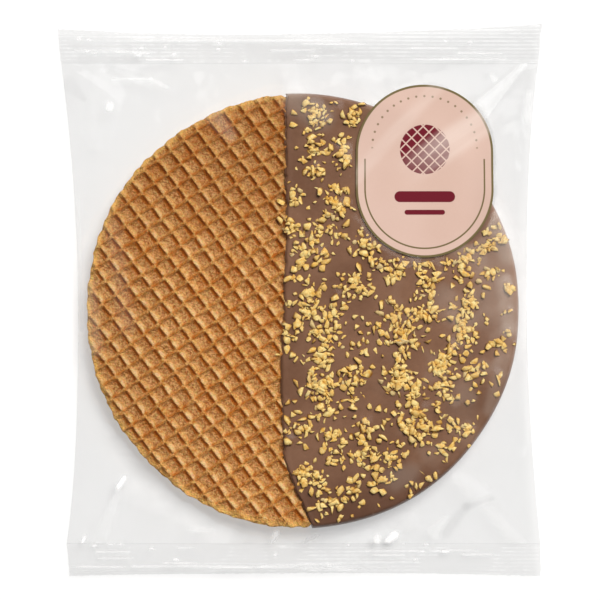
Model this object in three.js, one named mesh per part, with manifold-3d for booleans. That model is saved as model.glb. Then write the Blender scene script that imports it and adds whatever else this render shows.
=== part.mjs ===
// A large stroopwafel, half coated in milk chocolate and chopped nuts, in its sealed
// flow-wrap bag with a stadium-shaped sticker. Millimetres, +Z up. The pack lies flat:
// X runs across the bag, +Y points to the upper seal, and the origin is on the surface
// that it lies on, below the middle of the bag.
//
// The clear bag and what it holds are one closed solid: the bag's envelope with its two
// crimped end seals, the round waffle that fills it, the waffle's square pits, the raised
// chocolate half and the largest nut chips. The sticker is a thin curved plate on top.

import * as THREE from 'three';
import Module from 'manifold-3d';

const wasm = await Module();
wasm.setup();

// ---------------------------------------------------------------- driving dimensions

// The waffle: two thin wafers with syrup between them
const WAFFLE_RADIUS = 75;
const WAFFLE_CENTRE = [0.7, -3.35];
const WAFFLE_TOP = 9.0;
const RIM_UNEVENNESS = 0.45;
const RIM_ROUNDING = 1.3;
const GRID_PITCH = 5.68;
const GRID_ANGLE = THREE.MathUtils.degToRad(36.9);
const GRID_SHIFT = [0.961, 0.941];
const RIDGE_WIDTH = 0.5;
const PIT_DEPTH = 1.3;
const PIT_FLOOR_SHARE = 0.5;
const PIT_RIM_MARGIN = 1.3;

// The coating on the right half: its edge is a slow curve a little left of the middle
const CHOCOLATE_TOP = 9.8;
const CHOCOLATE_OVERHANG = 0.35;
const CHOCOLATE_BEVEL = 0.8;
const CHOCOLATE_EDGE_X = -5.6;
const CHOCOLATE_EDGE_CURL = 11.5;

// Chopped nuts: the largest chips, thrown by a seeded rule, and where a spoonful landed: [x, y, reach]
const NUT_SEED = 20417;
const NUT_THROWS = 9000;
const NUT_COUNT = 150;
const NUT_RADIUS_MAX = 2.15;
const NUT_RADIUS_MIN = 1.15;
const NUT_SPACING = 0.8;
const NUT_CLUMPS = [
  [6, 63, 4.5], [19.5, 63.5, 3], [5.5, 53.5, 4], [15.5, 54.5, 3], [11, 50, 3], [15.5, 47, 4],
  [3.5, 44.5, 3.5], [-1, 36, 2.5], [10.5, 34, 5], [17.5, 34, 3], [-3.5, 24, 4], [7, 24, 5],
  [23, 20, 4], [5, 15.5, 5.5], [28, 13, 4], [34, 10, 5], [43.5, 11, 5], [56, 13.5, 6],
  [66, 20, 4], [67, 9, 3], [73, 4.5, 2], [19, 6, 5.5], [45, 4, 4], [4.5, 2, 3],
  [2.5, -3.5, 5], [12, -4.5, 5], [31, -3.5, 5], [44, -4, 4.5], [59, -4, 5.5], [70, -5, 2],
  [-2, -11, 4], [9, -10.5, 5.5], [19.5, -18, 4], [8.5, -19.5, 4], [36, -13, 7.5], [56, -11, 6],
  [51, -22, 5.5], [60, -24.5, 3.5], [70, -14.5, 3], [19.5, -26, 4.5], [33.5, -26, 5], [7, -31, 5],
  [40.5, -31, 5], [49, -30.5, 3], [8, -38.5, 4.5], [18, -34, 3], [23.5, -45, 4], [40.5, -43, 7.5],
  [1, -44, 4], [11, -47.5, 3.5], [54, -45, 4], [49, -51, 2.5], [33, -53, 5], [24, -55, 4],
  [2, -61, 5.5], [13, -55, 3], [11, -69, 4], [27.5, -62, 3.5], [19, -66, 3], [39.5, -66, 2],
];

// The bag: a waisted tube of film, flattened and sealed at both ends
const FOLD_HEIGHT = 4.6;
const FILM_THICKNESS = 0.8;
const CROWN_WAFFLE_SIDE = 8.6;
const CROWN_CHOCOLATE_SIDE = 9.3;
const TENT_POWER = 1.15;
const UPPER_SEAL_Y = 82.6;
const LOWER_SEAL_Y = -85.0;
const LEFT_SIDE = {
  waist: -77.3,
  upper: { flare: -5.8, power: 1.8, lean: -1.4 },
  lower: { flare: -4.0, power: 3.0, lean: 0.9 },
};
const RIGHT_SIDE = {
  waist: 79.2,
  upper: { flare: 4.1, power: 2.8, lean: 1.2 },
  lower: { flare: 4.8, power: 1.8, lean: 0.2 },
};
const SEAL_LENGTH = 12;
const CRIMP_RIDGES = 5;
const CRIMP_HEIGHT = 0.35;

// The sticker
const LABEL_CENTRE = [43.4, 44.8];
const LABEL_WIDTH = 47.8;
const LABEL_LENGTH = 60.2;
const LABEL_THICKNESS = 0.4;
const LABEL_GAP = 0.3;
const LABEL_COLUMNS = 10;
const LABEL_ROWS = 16;

// ---------------------------------------------------------------- helpers

const { abs, atan2, cos, exp, hypot, max, min, PI, sin, sqrt } = Math;
const clamp = THREE.MathUtils.clamp;
const lerp = THREE.MathUtils.lerp;
const smooth = (value, low, high) => THREE.MathUtils.smoothstep(value, low, high);

// A repeatable stream of numbers from 0 to 1
function seededStream(seed) {
  let state = seed;
  return () => {
    state = (state * 16807) % 2147483647;
    return state / 2147483647;
  };
}

// A closed solid from a list of points and a list of triangles
function solidFrom(points, triangles) {
  const vertProperties = new Float32Array(points.flat());
  const triVerts = new Uint32Array(triangles.flat());
  return new wasm.Manifold(new wasm.Mesh({ numProp: 3, vertProperties, triVerts }));
}

// The same, from a stack of rings with equal numbers of points. Each end is closed by a fan
// from a middle point where one is given, and from the ring's own first point otherwise
function solidFromRings(rings, bottomMiddle, topMiddle) {
  const count = rings[0].length;
  const points = rings.flat();
  const last = (rings.length - 1) * count;
  const triangles = [];
  const fan = (middle, first, turn) => {
    const hub = middle ? points.push(middle) - 1 : first;
    for (let k = middle ? 0 : 1; k < (middle ? count : count - 1); k++) {
      const spoke = [first + k, first + ((k + 1) % count)];
      triangles.push(turn > 0 ? [hub, spoke[0], spoke[1]] : [hub, spoke[1], spoke[0]]);
    }
  };
  fan(bottomMiddle, 0, -1);
  fan(topMiddle, last, 1);
  for (let k = 0; k < count; k++) {
    const next = (k + 1) % count;
    for (let low = 0; low < last; low += count) {
      const high = low + count;
      triangles.push([low + k, low + next, high + next]);
      triangles.push([low + k, high + next, high + k]);
    }
  }
  return solidFrom(points, triangles);
}

// A closed plate from two grids of points, one above the other, with the same edges
function solidFromSheets(upper, lower) {
  const rows = upper.length;
  const columns = upper[0].length;
  const points = [...upper.flat(), ...lower.flat()];
  const high = (row, column) => row * columns + column;
  const low = (row, column) => rows * columns + row * columns + column;
  const triangles = [];
  const quad = (a, b, c, d) => triangles.push([a, b, c], [a, c, d]);
  for (let r = 0; r < rows - 1; r++) {
    for (let c = 0; c < columns - 1; c++) {
      quad(high(r, c), high(r, c + 1), high(r + 1, c + 1), high(r + 1, c));
      quad(low(r, c), low(r + 1, c), low(r + 1, c + 1), low(r, c + 1));
    }
  }
  for (let c = 0; c < columns - 1; c++) {
    quad(low(0, c), low(0, c + 1), high(0, c + 1), high(0, c));
    quad(high(rows - 1, c), high(rows - 1, c + 1), low(rows - 1, c + 1), low(rows - 1, c));
  }
  for (let r = 0; r < rows - 1; r++) {
    quad(high(r, 0), high(r + 1, 0), low(r + 1, 0), low(r, 0));
    quad(low(r, columns - 1), low(r + 1, columns - 1), high(r + 1, columns - 1), high(r, columns - 1));
  }
  return solidFrom(points, triangles);
}

function geometryFrom(solid) {
  const { vertProperties, triVerts, numProp } = solid.getMesh();
  const positions = new Float32Array((vertProperties.length / numProp) * 3);
  for (let v = 0; v < positions.length / 3; v++) {
    positions.set(vertProperties.subarray(v * numProp, v * numProp + 3), v * 3);
  }
  const geometry = new THREE.BufferGeometry();
  geometry.setAttribute('position', new THREE.BufferAttribute(positions, 3));
  geometry.setIndex(new THREE.BufferAttribute(new Uint32Array(triVerts), 1));
  geometry.computeVertexNormals();
  return geometry;
}

// ---------------------------------------------------------------- the bag's outline and height

// Where one side fold lies at a given Y: narrowest at the waist, flaring to both seals
function sideX(side, y) {
  const upward = y >= 0;
  const sealY = upward ? UPPER_SEAL_Y : -LOWER_SEAL_Y;
  const share = min(abs(y) / sealY, 1);
  const past = max(0, abs(y) - sealY) / SEAL_LENGTH;
  const { flare, power, lean } = upward ? side.upper : side.lower;
  return side.waist + flare * share ** power + lean * past;
}

// The cut edges of the two seals: the upper one rises to the right, the lower one bows a little
const upperEdgeY = (x) => 92.7 + 4.2 * ((x + 15) / 100) ** 2;
const lowerEdgeY = (x) => -95.4 - 1.1 * (x / 80) ** 2;

const fromWaffle = (x, y) => hypot(x - WAFFLE_CENTRE[0], y - WAFFLE_CENTRE[1]);

// Height of the seam between the upper and lower film: level along the side folds, and
// slowly waved along the two free end seals
function seamHeight(x, y) {
  const upperShare = clamp((y - 60) / (UPPER_SEAL_Y + SEAL_LENGTH - 60), 0, 1);
  const lowerShare = clamp((-y - 62) / (-LOWER_SEAL_Y + SEAL_LENGTH - 62), 0, 1);
  const upperWave = 1.1 * sin(x / 17 + 0.6) - 0.5;
  const lowerWave = 1.0 * sin(x / 21 + 2.4) - 0.9;
  return FOLD_HEIGHT + upperShare * upperWave + lowerShare * lowerWave;
}

// How far the film has come down from the waffle's rim (0) to the seam (1)
function slackShare(x, y) {
  const outside = max(0, fromWaffle(x, y) - WAFFLE_RADIUS);
  const inset = min(x - sideX(LEFT_SIDE, y), sideX(RIGHT_SIDE, y) - x, UPPER_SEAL_Y - y, y - LOWER_SEAL_Y);
  const toEdge = max(0, inset);
  return outside === 0 ? (inset <= 0 ? 1 : 0) : outside / (outside + toEdge);
}

const crownHeight = (x) => lerp(CROWN_WAFFLE_SIDE, CROWN_CHOCOLATE_SIDE, smooth(x, -20, 10));

function filmTop(x, y) {
  const seam = seamHeight(x, y) + FILM_THICKNESS / 2;
  return seam + (crownHeight(x) - seam) * (1 - slackShare(x, y)) ** TENT_POWER;
}

function filmBottom(x, y) {
  const seam = seamHeight(x, y) - FILM_THICKNESS / 2;
  return seam * (1 - (1 - slackShare(x, y)) ** TENT_POWER);
}

// ---------------------------------------------------------------- the envelope

// Even steps, drawn together towards both ends
const drawnTogether = (count) =>
  Array.from({ length: count + 1 }, (_, k) => 0.5 - 0.5 * cos((PI * k) / count));

// Rows of the film grid: crimped ridges in each seal, a few wide rows between the seals
function envelopeRows() {
  const rows = [];
  const steps = CRIMP_RIDGES * 2;
  for (let k = 0; k <= steps; k++) {
    const crimp = k % 2 === 1 ? CRIMP_HEIGHT : 0;
    rows.push({ crimp, y: (x) => lerp(lowerEdgeY(x), LOWER_SEAL_Y, k / steps) });
  }
  for (const share of drawnTogether(12).slice(1, -1)) {
    rows.push({ crimp: 0, y: () => lerp(LOWER_SEAL_Y, UPPER_SEAL_Y, share) });
  }
  for (let k = 0; k <= steps; k++) {
    const crimp = k % 2 === 1 ? CRIMP_HEIGHT : 0;
    rows.push({ crimp, y: (x) => lerp(UPPER_SEAL_Y, upperEdgeY(x), k / steps) });
  }
  return rows;
}

function buildEnvelope() {
  const columns = drawnTogether(12);
  const upper = [];
  const lower = [];
  for (const row of envelopeRows()) {
    const place = columns.map((share) => {
      const roughX = lerp(-80, 80, share);
      const y = row.y(roughX);
      return [lerp(sideX(LEFT_SIDE, y), sideX(RIGHT_SIDE, y), share), y];
    });
    upper.push(place.map(([x, y]) => [x, y, filmTop(x, y) + row.crimp]));
    lower.push(place.map(([x, y]) => [x, y, filmBottom(x, y) + row.crimp]));
  }
  return solidFromSheets(upper, lower);
}

// ---------------------------------------------------------------- the waffle

// The hand-cut rim is not quite round
const rimRadius = (angle) =>
  WAFFLE_RADIUS + RIM_UNEVENNESS * (sin(3 * angle + 0.7) * 0.6 + sin(7 * angle + 2.1) * 0.4);

function ringAround(radiusAt, z, count) {
  return Array.from({ length: count }, (_, k) => {
    const angle = (2 * PI * k) / count;
    const radius = radiusAt(angle);
    return [WAFFLE_CENTRE[0] + radius * cos(angle), WAFFLE_CENTRE[1] + radius * sin(angle), z];
  });
}

function buildDisc() {
  const sides = 72;
  const rings = [
    ringAround((a) => rimRadius(a) - RIM_ROUNDING, 2, sides),
    ringAround(rimRadius, 3.4, sides),
    ringAround(rimRadius, WAFFLE_TOP - RIM_ROUNDING, sides),
    ringAround((a) => rimRadius(a) - RIM_ROUNDING * 0.3, WAFFLE_TOP - RIM_ROUNDING * 0.3, sides),
    ringAround((a) => rimRadius(a) - RIM_ROUNDING, WAFFLE_TOP, sides),
  ];
  return solidFromRings(rings);
}

// The baking iron's grid turned into the bag's axes: the middle of pit i, j of the lattice
function gridPoint(i, j) {
  const u = (i + GRID_SHIFT[0]) * GRID_PITCH;
  const v = (j + GRID_SHIFT[1]) * GRID_PITCH;
  return [
    WAFFLE_CENTRE[0] + u * cos(GRID_ANGLE) + v * sin(GRID_ANGLE),
    WAFFLE_CENTRE[1] + u * sin(GRID_ANGLE) - v * cos(GRID_ANGLE),
  ];
}

// One pit: a square frustum, with a short straight collar that reaches above the waffle
function pitAt([x, y]) {
  const mouth = (GRID_PITCH - RIDGE_WIDTH) / 2;
  const floor = (GRID_PITCH * PIT_FLOOR_SHARE) / 2;
  const square = (half, z) =>
    [0, 1, 2, 3].map((corner) => {
      const angle = GRID_ANGLE + PI / 4 + (corner * PI) / 2;
      return [x + half * Math.SQRT2 * cos(angle), y + half * Math.SQRT2 * sin(angle), z];
    });
  const rings = [
    square(floor, WAFFLE_TOP - PIT_DEPTH),
    square(mouth, WAFFLE_TOP),
    square(mouth, WAFFLE_TOP + 0.6),
  ];
  return solidFromRings(rings);
}

// The coating's edge: nearly straight, and curling to the right at the lower rim
const chocolateEdgeX = (y) =>
  CHOCOLATE_EDGE_X + 0.8 * sin(y / 19) + CHOCOLATE_EDGE_CURL * smooth(-y, 45, 90) ** 1.4 + 1.2 * smooth(y, 40, 75);

function buildPits() {
  const reach = Math.ceil(WAFFLE_RADIUS / GRID_PITCH) + 1;
  let pits = null;
  for (let i = -reach; i <= reach; i++) {
    for (let j = -reach; j <= reach; j++) {
      const centre = gridPoint(i, j);
      const onWaffle = fromWaffle(...centre) < WAFFLE_RADIUS + 1;
      const bare = centre[0] < chocolateEdgeX(centre[1]) + 0.6 * GRID_PITCH;
      if (onWaffle && bare) {
        const pit = pitAt(centre);
        pits = pits ? pits.add(pit) : pit;
      }
    }
  }
  const sides = 72;
  const inner = (z) => ringAround((a) => rimRadius(a) - PIT_RIM_MARGIN, z, sides);
  return pits.intersect(solidFromRings([inner(5), inner(12)]));
}

// ---------------------------------------------------------------- chocolate and nuts

// Outline of the coated part: up the coating's edge, then round the rim
function chocolateOutline() {
  const radius = WAFFLE_RADIUS + CHOCOLATE_OVERHANG;
  const onRim = (x, y) => {
    const angle = atan2(y - WAFFLE_CENTRE[1], x - WAFFLE_CENTRE[0]);
    return [angle, rimRadius(angle) + CHOCOLATE_OVERHANG];
  };
  let lowY = -radius;
  while (fromWaffle(chocolateEdgeX(lowY), lowY) > radius - 0.3) lowY += 0.25;
  let highY = radius;
  while (fromWaffle(chocolateEdgeX(highY), highY) > radius - 0.3) highY -= 0.25;
  const [startAngle] = onRim(chocolateEdgeX(lowY), lowY);
  const [endAngle] = onRim(chocolateEdgeX(highY), highY);
  const rimSteps = 40;
  const edgeSteps = 18;
  const outline = [];
  for (let k = 0; k < rimSteps; k++) {
    const angle = lerp(startAngle, endAngle, k / rimSteps);
    const reach = rimRadius(angle) + CHOCOLATE_OVERHANG;
    outline.push([WAFFLE_CENTRE[0] + reach * cos(angle), WAFFLE_CENTRE[1] + reach * sin(angle)]);
  }
  for (let k = 0; k < edgeSteps; k++) {
    const y = lerp(highY, lowY, k / edgeSteps);
    outline.push([chocolateEdgeX(y), y]);
  }
  return outline;
}

// The outline drawn inwards by a distance, along the bisector at each of its points
function drawnIn(outline, distance) {
  const count = outline.length;
  return outline.map(([x, y], k) => {
    const before = outline[(k + count - 1) % count];
    const after = outline[(k + 1) % count];
    const along = [after[0] - before[0], after[1] - before[1]];
    const length = hypot(...along);
    return [x - (along[1] / length) * distance, y + (along[0] / length) * distance];
  });
}

function buildChocolate() {
  const outline = chocolateOutline();
  const ring = (distance, z) => drawnIn(outline, distance).map(([x, y]) => [x, y, z]);
  const rings = [
    ring(0, 6.5),
    ring(0, CHOCOLATE_TOP - CHOCOLATE_BEVEL),
    ring(CHOCOLATE_BEVEL * 0.35, CHOCOLATE_TOP - CHOCOLATE_BEVEL * 0.3),
    ring(CHOCOLATE_BEVEL, CHOCOLATE_TOP),
  ];
  const middle = [WAFFLE_CENTRE[0] + WAFFLE_RADIUS * 0.4, WAFFLE_CENTRE[1]];
  return solidFromRings(rings, [...middle, 6.5], [...middle, CHOCOLATE_TOP]);
}

// How thickly the nuts lie: full in the middle of a clump, a few stray ones between them
function nutDensity(x, y) {
  const nearness = NUT_CLUMPS.map(([cx, cy, reach]) => exp(-(((x - cx) ** 2 + (y - cy) ** 2) / reach ** 2)));
  return 0.03 + max(...nearness);
}

// Distance from a point to the sticker's outline, negative inside it
function fromLabel(x, y) {
  const straight = (LABEL_LENGTH - LABEL_WIDTH) / 2;
  const dx = x - LABEL_CENTRE[0];
  const dy = max(0, abs(y - LABEL_CENTRE[1]) - straight);
  return hypot(dx, dy) - LABEL_WIDTH / 2;
}

// Places of the largest chips: [x, y, radius, turn], none of them under the sticker
function nutPlaces() {
  const next = seededStream(NUT_SEED);
  const places = [];
  for (let k = 0; k < NUT_THROWS && places.length < NUT_COUNT; k++) {
    const angle = 2 * PI * next();
    const reach = (WAFFLE_RADIUS - 1.2) * sqrt(next());
    const luck = next();
    const turn = 2 * PI * next();
    const x = WAFFLE_CENTRE[0] + reach * cos(angle);
    const y = WAFFLE_CENTRE[1] + reach * sin(angle);
    const radius = lerp(NUT_RADIUS_MAX, NUT_RADIUS_MIN, (places.length / NUT_COUNT) ** 0.6);
    const coated = x - chocolateEdgeX(y) > 0.7 * radius;
    const clearOfLabel = fromLabel(x, y) > radius + 0.9;
    const clear = places.every((p) => hypot(p[0] - x, p[1] - y) > NUT_SPACING * (p[2] + radius));
    if (coated && clearOfLabel && clear && luck < nutDensity(x, y)) {
      places.push([x, y, radius, turn]);
    }
  }
  return places;
}

// One chip: an uneven five-sided stump with a slanted top, its foot sunk in the coating
function nutAt([x, y, radius, turn], next) {
  const sides = 5;
  const narrow = 0.7 + 0.3 * next();
  const height = radius * (0.5 + 0.3 * next());
  const slant = 0.45 * next();
  const reach = Array.from({ length: sides }, () => 0.8 + 0.3 * next());
  const ring = (share, lift) =>
    reach.map((stretch, k) => {
      const angle = (2 * PI * k) / sides;
      const along = radius * share * stretch * cos(angle);
      const across = radius * share * stretch * narrow * sin(angle);
      return [
        x + along * cos(turn) - across * sin(turn),
        y + along * sin(turn) + across * cos(turn),
        CHOCOLATE_TOP + (lift > 0 ? lift + along * slant : lift),
      ];
    });
  return solidFromRings([ring(1, -0.4), ring(0.6, height)]);
}

function buildNuts() {
  const next = seededStream(NUT_SEED + 1);
  return nutPlaces().map((place) => nutAt(place, next));
}

// ---------------------------------------------------------------- the sticker

// A stadium-shaped plate that follows the film and bends down past the waffle's rim
function buildLabel() {
  const half = LABEL_WIDTH / 2;
  const straight = (LABEL_LENGTH - LABEL_WIDTH) / 2;
  const under = (x, y) => {
    const bend = smooth(fromWaffle(x, y), WAFFLE_RADIUS - 1.5, WAFFLE_RADIUS + 9);
    const level = CHOCOLATE_TOP + LABEL_GAP;
    return max(lerp(level, filmTop(x, y) + LABEL_GAP, bend), filmTop(x, y) + LABEL_GAP);
  };
  const upper = [];
  const lower = [];
  for (let r = 0; r <= LABEL_ROWS; r++) {
    const y = LABEL_CENTRE[1] - (LABEL_LENGTH / 2) * cos((PI * (r + 0.35)) / (LABEL_ROWS + 0.7));
    const beyond = max(0, abs(y - LABEL_CENTRE[1]) - straight);
    const reach = sqrt(max(0, half * half - beyond * beyond));
    const line = [];
    for (let c = 0; c <= LABEL_COLUMNS; c++) {
      const x = LABEL_CENTRE[0] - reach * cos((PI * c) / LABEL_COLUMNS);
      line.push([x, y, under(x, y)]);
    }
    lower.push(line);
    upper.push(line.map(([x, y, z]) => [x, y, z + LABEL_THICKNESS]));
  }
  return solidFromSheets(upper, lower);
}

// ---------------------------------------------------------------- the pack

function buildBag() {
  const nuts = buildNuts();
  const waffle = buildEnvelope().add(buildDisc()).subtract(buildPits());
  const joined = nuts.reduce((whole, nut) => whole.add(nut), waffle.add(buildChocolate()));
  const [largest] = joined.decompose().sort((a, b) => b.volume() - a.volume());
  return largest;
}

const filmFinish = new THREE.MeshStandardMaterial({ color: 0xc89a62, roughness: 0.35, metalness: 0 });
const labelFinish = new THREE.MeshStandardMaterial({ color: 0xe3c1b1, roughness: 0.45, metalness: 0 });

const bag = new THREE.Mesh(geometryFrom(buildBag()), filmFinish);
bag.name = 'bag';

const label = new THREE.Mesh(geometryFrom(buildLabel()), labelFinish);
label.name = 'label';

const pack = new THREE.Group();
pack.add(bag, label);

export default pack;
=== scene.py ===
# %% [markdown]
# # A large stroopwafel, half chocolate, in its clear bag
# A stroopwafel is two thin wafers, baked in an iron with a square grid, with a layer of
# caramel syrup between them. This one is dipped in milk chocolate on its right half,
# strewn with chopped nuts, and sealed in a clear flow-wrap bag with a pink sticker.
#
# The imported model is the frame: the sticker's top height is read from it, and each piece hides the
# imported solid that it replaces.
# Every surface here is worked out with numpy as whole arrays and put into a mesh.

# %% Load the imported frame
import math

import bmesh
import bpy
import numpy as np
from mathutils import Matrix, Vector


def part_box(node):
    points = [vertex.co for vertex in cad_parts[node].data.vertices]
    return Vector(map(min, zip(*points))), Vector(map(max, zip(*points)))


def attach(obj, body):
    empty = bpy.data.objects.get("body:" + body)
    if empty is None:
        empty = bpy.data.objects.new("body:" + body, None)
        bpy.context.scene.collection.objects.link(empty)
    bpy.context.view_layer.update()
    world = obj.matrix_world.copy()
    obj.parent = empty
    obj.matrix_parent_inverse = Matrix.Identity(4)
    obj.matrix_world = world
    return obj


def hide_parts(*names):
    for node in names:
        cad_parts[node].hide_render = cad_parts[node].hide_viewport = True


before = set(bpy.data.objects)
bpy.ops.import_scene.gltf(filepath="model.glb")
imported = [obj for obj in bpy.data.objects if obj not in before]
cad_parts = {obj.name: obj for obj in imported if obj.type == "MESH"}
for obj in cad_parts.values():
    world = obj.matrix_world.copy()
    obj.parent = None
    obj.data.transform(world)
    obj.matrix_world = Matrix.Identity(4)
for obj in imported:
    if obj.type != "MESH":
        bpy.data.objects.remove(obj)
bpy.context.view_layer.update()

# %% [markdown]
# ## Driving sizes
# A food is easiest to describe in millimetres, so all sizes below are millimetres and the
# mesh builder turns them into metres at the end.

# %% Sizes in millimetres
MM = 0.001

# the waffle
WAFFLE_RADIUS = 75.0
WAFFLE_CENTRE = (0.7, -3.35)
WAFFLE_TOP = 9.0
WAFFLE_BASE = 0.75
WAFER_THICKNESS = 3.3
RIM_UNEVENNESS = 0.45

# the baking iron: its shift places a crossing of two ridges, in pitches
GRID_PITCH = 5.68
GRID_ANGLE = math.radians(36.9)
GRID_SHIFT = (0.461, 0.441)
PIT_DEPTH = 1.35

# the chocolate coat
CHOCOLATE_TOP = 9.8
CHOCOLATE_BASE = 0.32
CHOCOLATE_OVERHANG = 0.55
CHOCOLATE_EDGE_X = -5.6
CHOCOLATE_EDGE_CURL = 11.5

# the bag: heights of its folds, of the film below and of the film where it leaves the rim
FOLD_HEIGHT = 4.6
FILM_BASE = 0.18
CROWN_WAFFLE_SIDE = 8.6
CROWN_CHOCOLATE_SIDE = 9.3
TENT_POWER = 1.15
UPPER_SEAL_Y = 82.6
LOWER_SEAL_Y = -85.0
# each side: waist, then flare, power and lean above the waist, and the same below it
LEFT_SIDE = (-77.3, (-5.8, 1.8, -1.4), (-4.0, 3.0, 0.9))
RIGHT_SIDE = (79.2, (4.1, 2.8, 1.2), (4.8, 1.8, 0.2))
SEAL_LENGTH = 12.0
CRIMP_PITCH = 1.32
CRIMP_HEIGHT = 0.3

# the sticker
label_low, label_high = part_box("label")
LABEL_CENTRE = (43.4, 44.8)
LABEL_WIDTH = 47.8
LABEL_LENGTH = 60.2
LABEL_STRAIGHT = (LABEL_LENGTH - LABEL_WIDTH) / 2
LABEL_TOP = label_high.z / MM
LABEL_THICKNESS = 0.12
print("sticker in the frame:", [round((b - a) / MM, 2) for a, b in zip(label_low, label_high)],
      "mm, top at", round(LABEL_TOP, 2))

# %% [markdown]
# ## Small helpers
# Smooth steps, blends and a seeded ripple are the building blocks of every uneven
# surface. The ripple is *value noise*: random numbers on a square net, blended smoothly.

# %% Blends and ripples
NET_CELLS = 128
NET_SHIFT = (512.37, 512.71)


def lerp(a, b, share):
    """Straight blend: a at share 0, b at share 1."""
    return a + (b - a) * share


def smooth(value, low, high):
    """Smooth step: 0 below low, 1 above high, three t squared minus two t cubed between."""
    t = np.clip((value - low) / (high - low), 0.0, 1.0)
    return t * t * (3 - 2 * t)


def bell(distance, width):
    """Bell curve: 1 at distance 0, falling to about a third at one width."""
    return np.exp(-(distance / width) ** 2)


def eased(count, share):
    """Steps from 0 to 1, closer together at both ends: even ones blended with a half wave."""
    even = np.linspace(0, 1, count)
    return lerp(even, 0.5 - 0.5 * np.cos(math.pi * even), share)


def ripple(x, y, size, seed):
    """Value noise from -1 to 1: random heights on a net of the given mesh size, blended
    between the four nearest with a smooth step. The net repeats after NET_CELLS cells."""
    table = np.random.default_rng(seed).uniform(-1, 1, (NET_CELLS, NET_CELLS))
    u = np.asarray(x) / size + NET_SHIFT[0]
    v = np.asarray(y) / size + NET_SHIFT[1]
    i, j = np.floor(u).astype(int), np.floor(v).astype(int)
    left, right = i % NET_CELLS, (i + 1) % NET_CELLS
    low, high = j % NET_CELLS, (j + 1) % NET_CELLS
    near = lerp(table[left, low], table[right, low], smooth(u - i, 0, 1))
    far = lerp(table[left, high], table[right, high], smooth(u - i, 0, 1))
    return lerp(near, far, smooth(v - j, 0, 1))


print("a ripple, 1 mm apart:", ripple(np.arange(5), 0, 3.0, 1).round(2))

# %% Places round the waffle's middle


def from_waffle(x, y):
    """Distance from the waffle's middle."""
    return np.hypot(x - WAFFLE_CENTRE[0], y - WAFFLE_CENTRE[1])


def waffle_angle(x, y):
    """Angle round the waffle's middle, counted from +X towards +Y."""
    return np.arctan2(y - WAFFLE_CENTRE[1], x - WAFFLE_CENTRE[0])


def round_waffle(radius, angle):
    """X and Y of the place at this distance and angle from the waffle's middle."""
    return WAFFLE_CENTRE[0] + radius * np.cos(angle), WAFFLE_CENTRE[1] + radius * np.sin(angle)


print("rightmost place of the waffle: x =", round_waffle(WAFFLE_RADIUS, 0.0)[0], "mm")

# %% [markdown]
# ## Putting arrays into a mesh
# `foreach_set` copies whole arrays into a mesh at once, which is far faster than adding
# vertices one by one. Faces can be quads or triangles; both go in as loop starts.

# %% Mesh builder
SHARP_FOLD_DEGREES = 100


def make_piece(name, points, faces, material, node="bag", shade_smooth=True):
    """Make one closed mesh object from points in millimetres and lists of face rows. Folds
    sharper than SHARP_FOLD_DEGREES, such as the bag's edge, are not smoothed over."""
    mesh = bpy.data.meshes.new(name)
    mesh.vertices.add(len(points))
    mesh.vertices.foreach_set("co", (np.asarray(points, float) * MM).ravel())
    corners = np.concatenate([np.asarray(rows).ravel() for rows in faces])
    totals = np.concatenate([np.full(len(rows), np.asarray(rows).shape[1]) for rows in faces])
    starts = np.concatenate([[0], np.cumsum(totals)[:-1]])
    mesh.loops.add(len(corners))
    mesh.loops.foreach_set("vertex_index", corners.astype(np.int32))
    mesh.polygons.add(len(totals))
    mesh.polygons.foreach_set("loop_start", starts.astype(np.int32))
    mesh.polygons.foreach_set("use_smooth", np.full(len(totals), shade_smooth))
    mesh.update(calc_edges=True)
    mesh.validate()
    mesh.set_sharp_from_angle(angle=math.radians(SHARP_FOLD_DEGREES))
    piece = bpy.data.objects.new(name, mesh)
    bpy.context.scene.collection.objects.link(piece)
    piece.data.materials.append(material)
    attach(piece, "root")
    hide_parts(node)
    print(name, "-", int((totals - 2).sum()), "triangles")
    return piece


def store(piece, name, values):
    """Store one number per vertex in the mesh, for its material to read."""
    attribute = piece.data.attributes.new(name, "FLOAT", "POINT")
    attribute.data.foreach_set("value", np.asarray(values, np.float32))


# %% Faces between rows of points


def grid_quads(rows, columns, start=0):
    """Quads of a grid of points numbered row by row; they face up where rows run along +Y
    and columns along +X."""
    first = (np.arange(rows - 1)[:, None] * columns + np.arange(columns - 1)).ravel() + start
    return np.stack([first, first + 1, first + columns + 1, first + columns], axis=1)


def ring_quads(rings, count, start=0):
    """Quads between stacked rings of count points each, with the last joined to the first."""
    k = np.arange(count)
    low = (np.arange(rings - 1)[:, None] * count + k).ravel() + start
    turned = (np.arange(rings - 1)[:, None] * count + (k + 1) % count).ravel() + start
    return np.stack([low, turned, turned + count, low + count], axis=1)


def ring_fan(first, count, middle, facing_up):
    """Triangles from a middle point to a ring."""
    k = np.arange(count)
    a, b = first + k, first + (k + 1) % count
    hub = np.full(count, middle)
    return np.stack([hub, a, b] if facing_up else [hub, b, a], axis=1)


def flipped(faces):
    """The same faces with their corners in reverse, so that their normals turn round."""
    return [rows[:, ::-1] for rows in faces]


def pillow(upper, lower):
    """A closed surface from two grids of points that meet along all four edges."""
    rows, columns = upper.shape[:2]
    index = np.arange(rows * columns).reshape(rows, columns)
    inner_index = np.arange((rows - 2) * (columns - 2)).reshape(rows - 2, columns - 2)
    inner = np.full((rows, columns), -1)
    inner[1:-1, 1:-1] = rows * columns + inner_index
    under = np.where(inner < 0, index, inner)
    points = np.concatenate([upper.reshape(-1, 3), lower[1:-1, 1:-1].reshape(-1, 3)])
    top = grid_quads(rows, columns)
    bottom = under.ravel()[top][:, ::-1]
    return points, [top, bottom]


print("a net of 3 by 3 points has", len(grid_quads(3, 3)), "quads")

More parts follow.
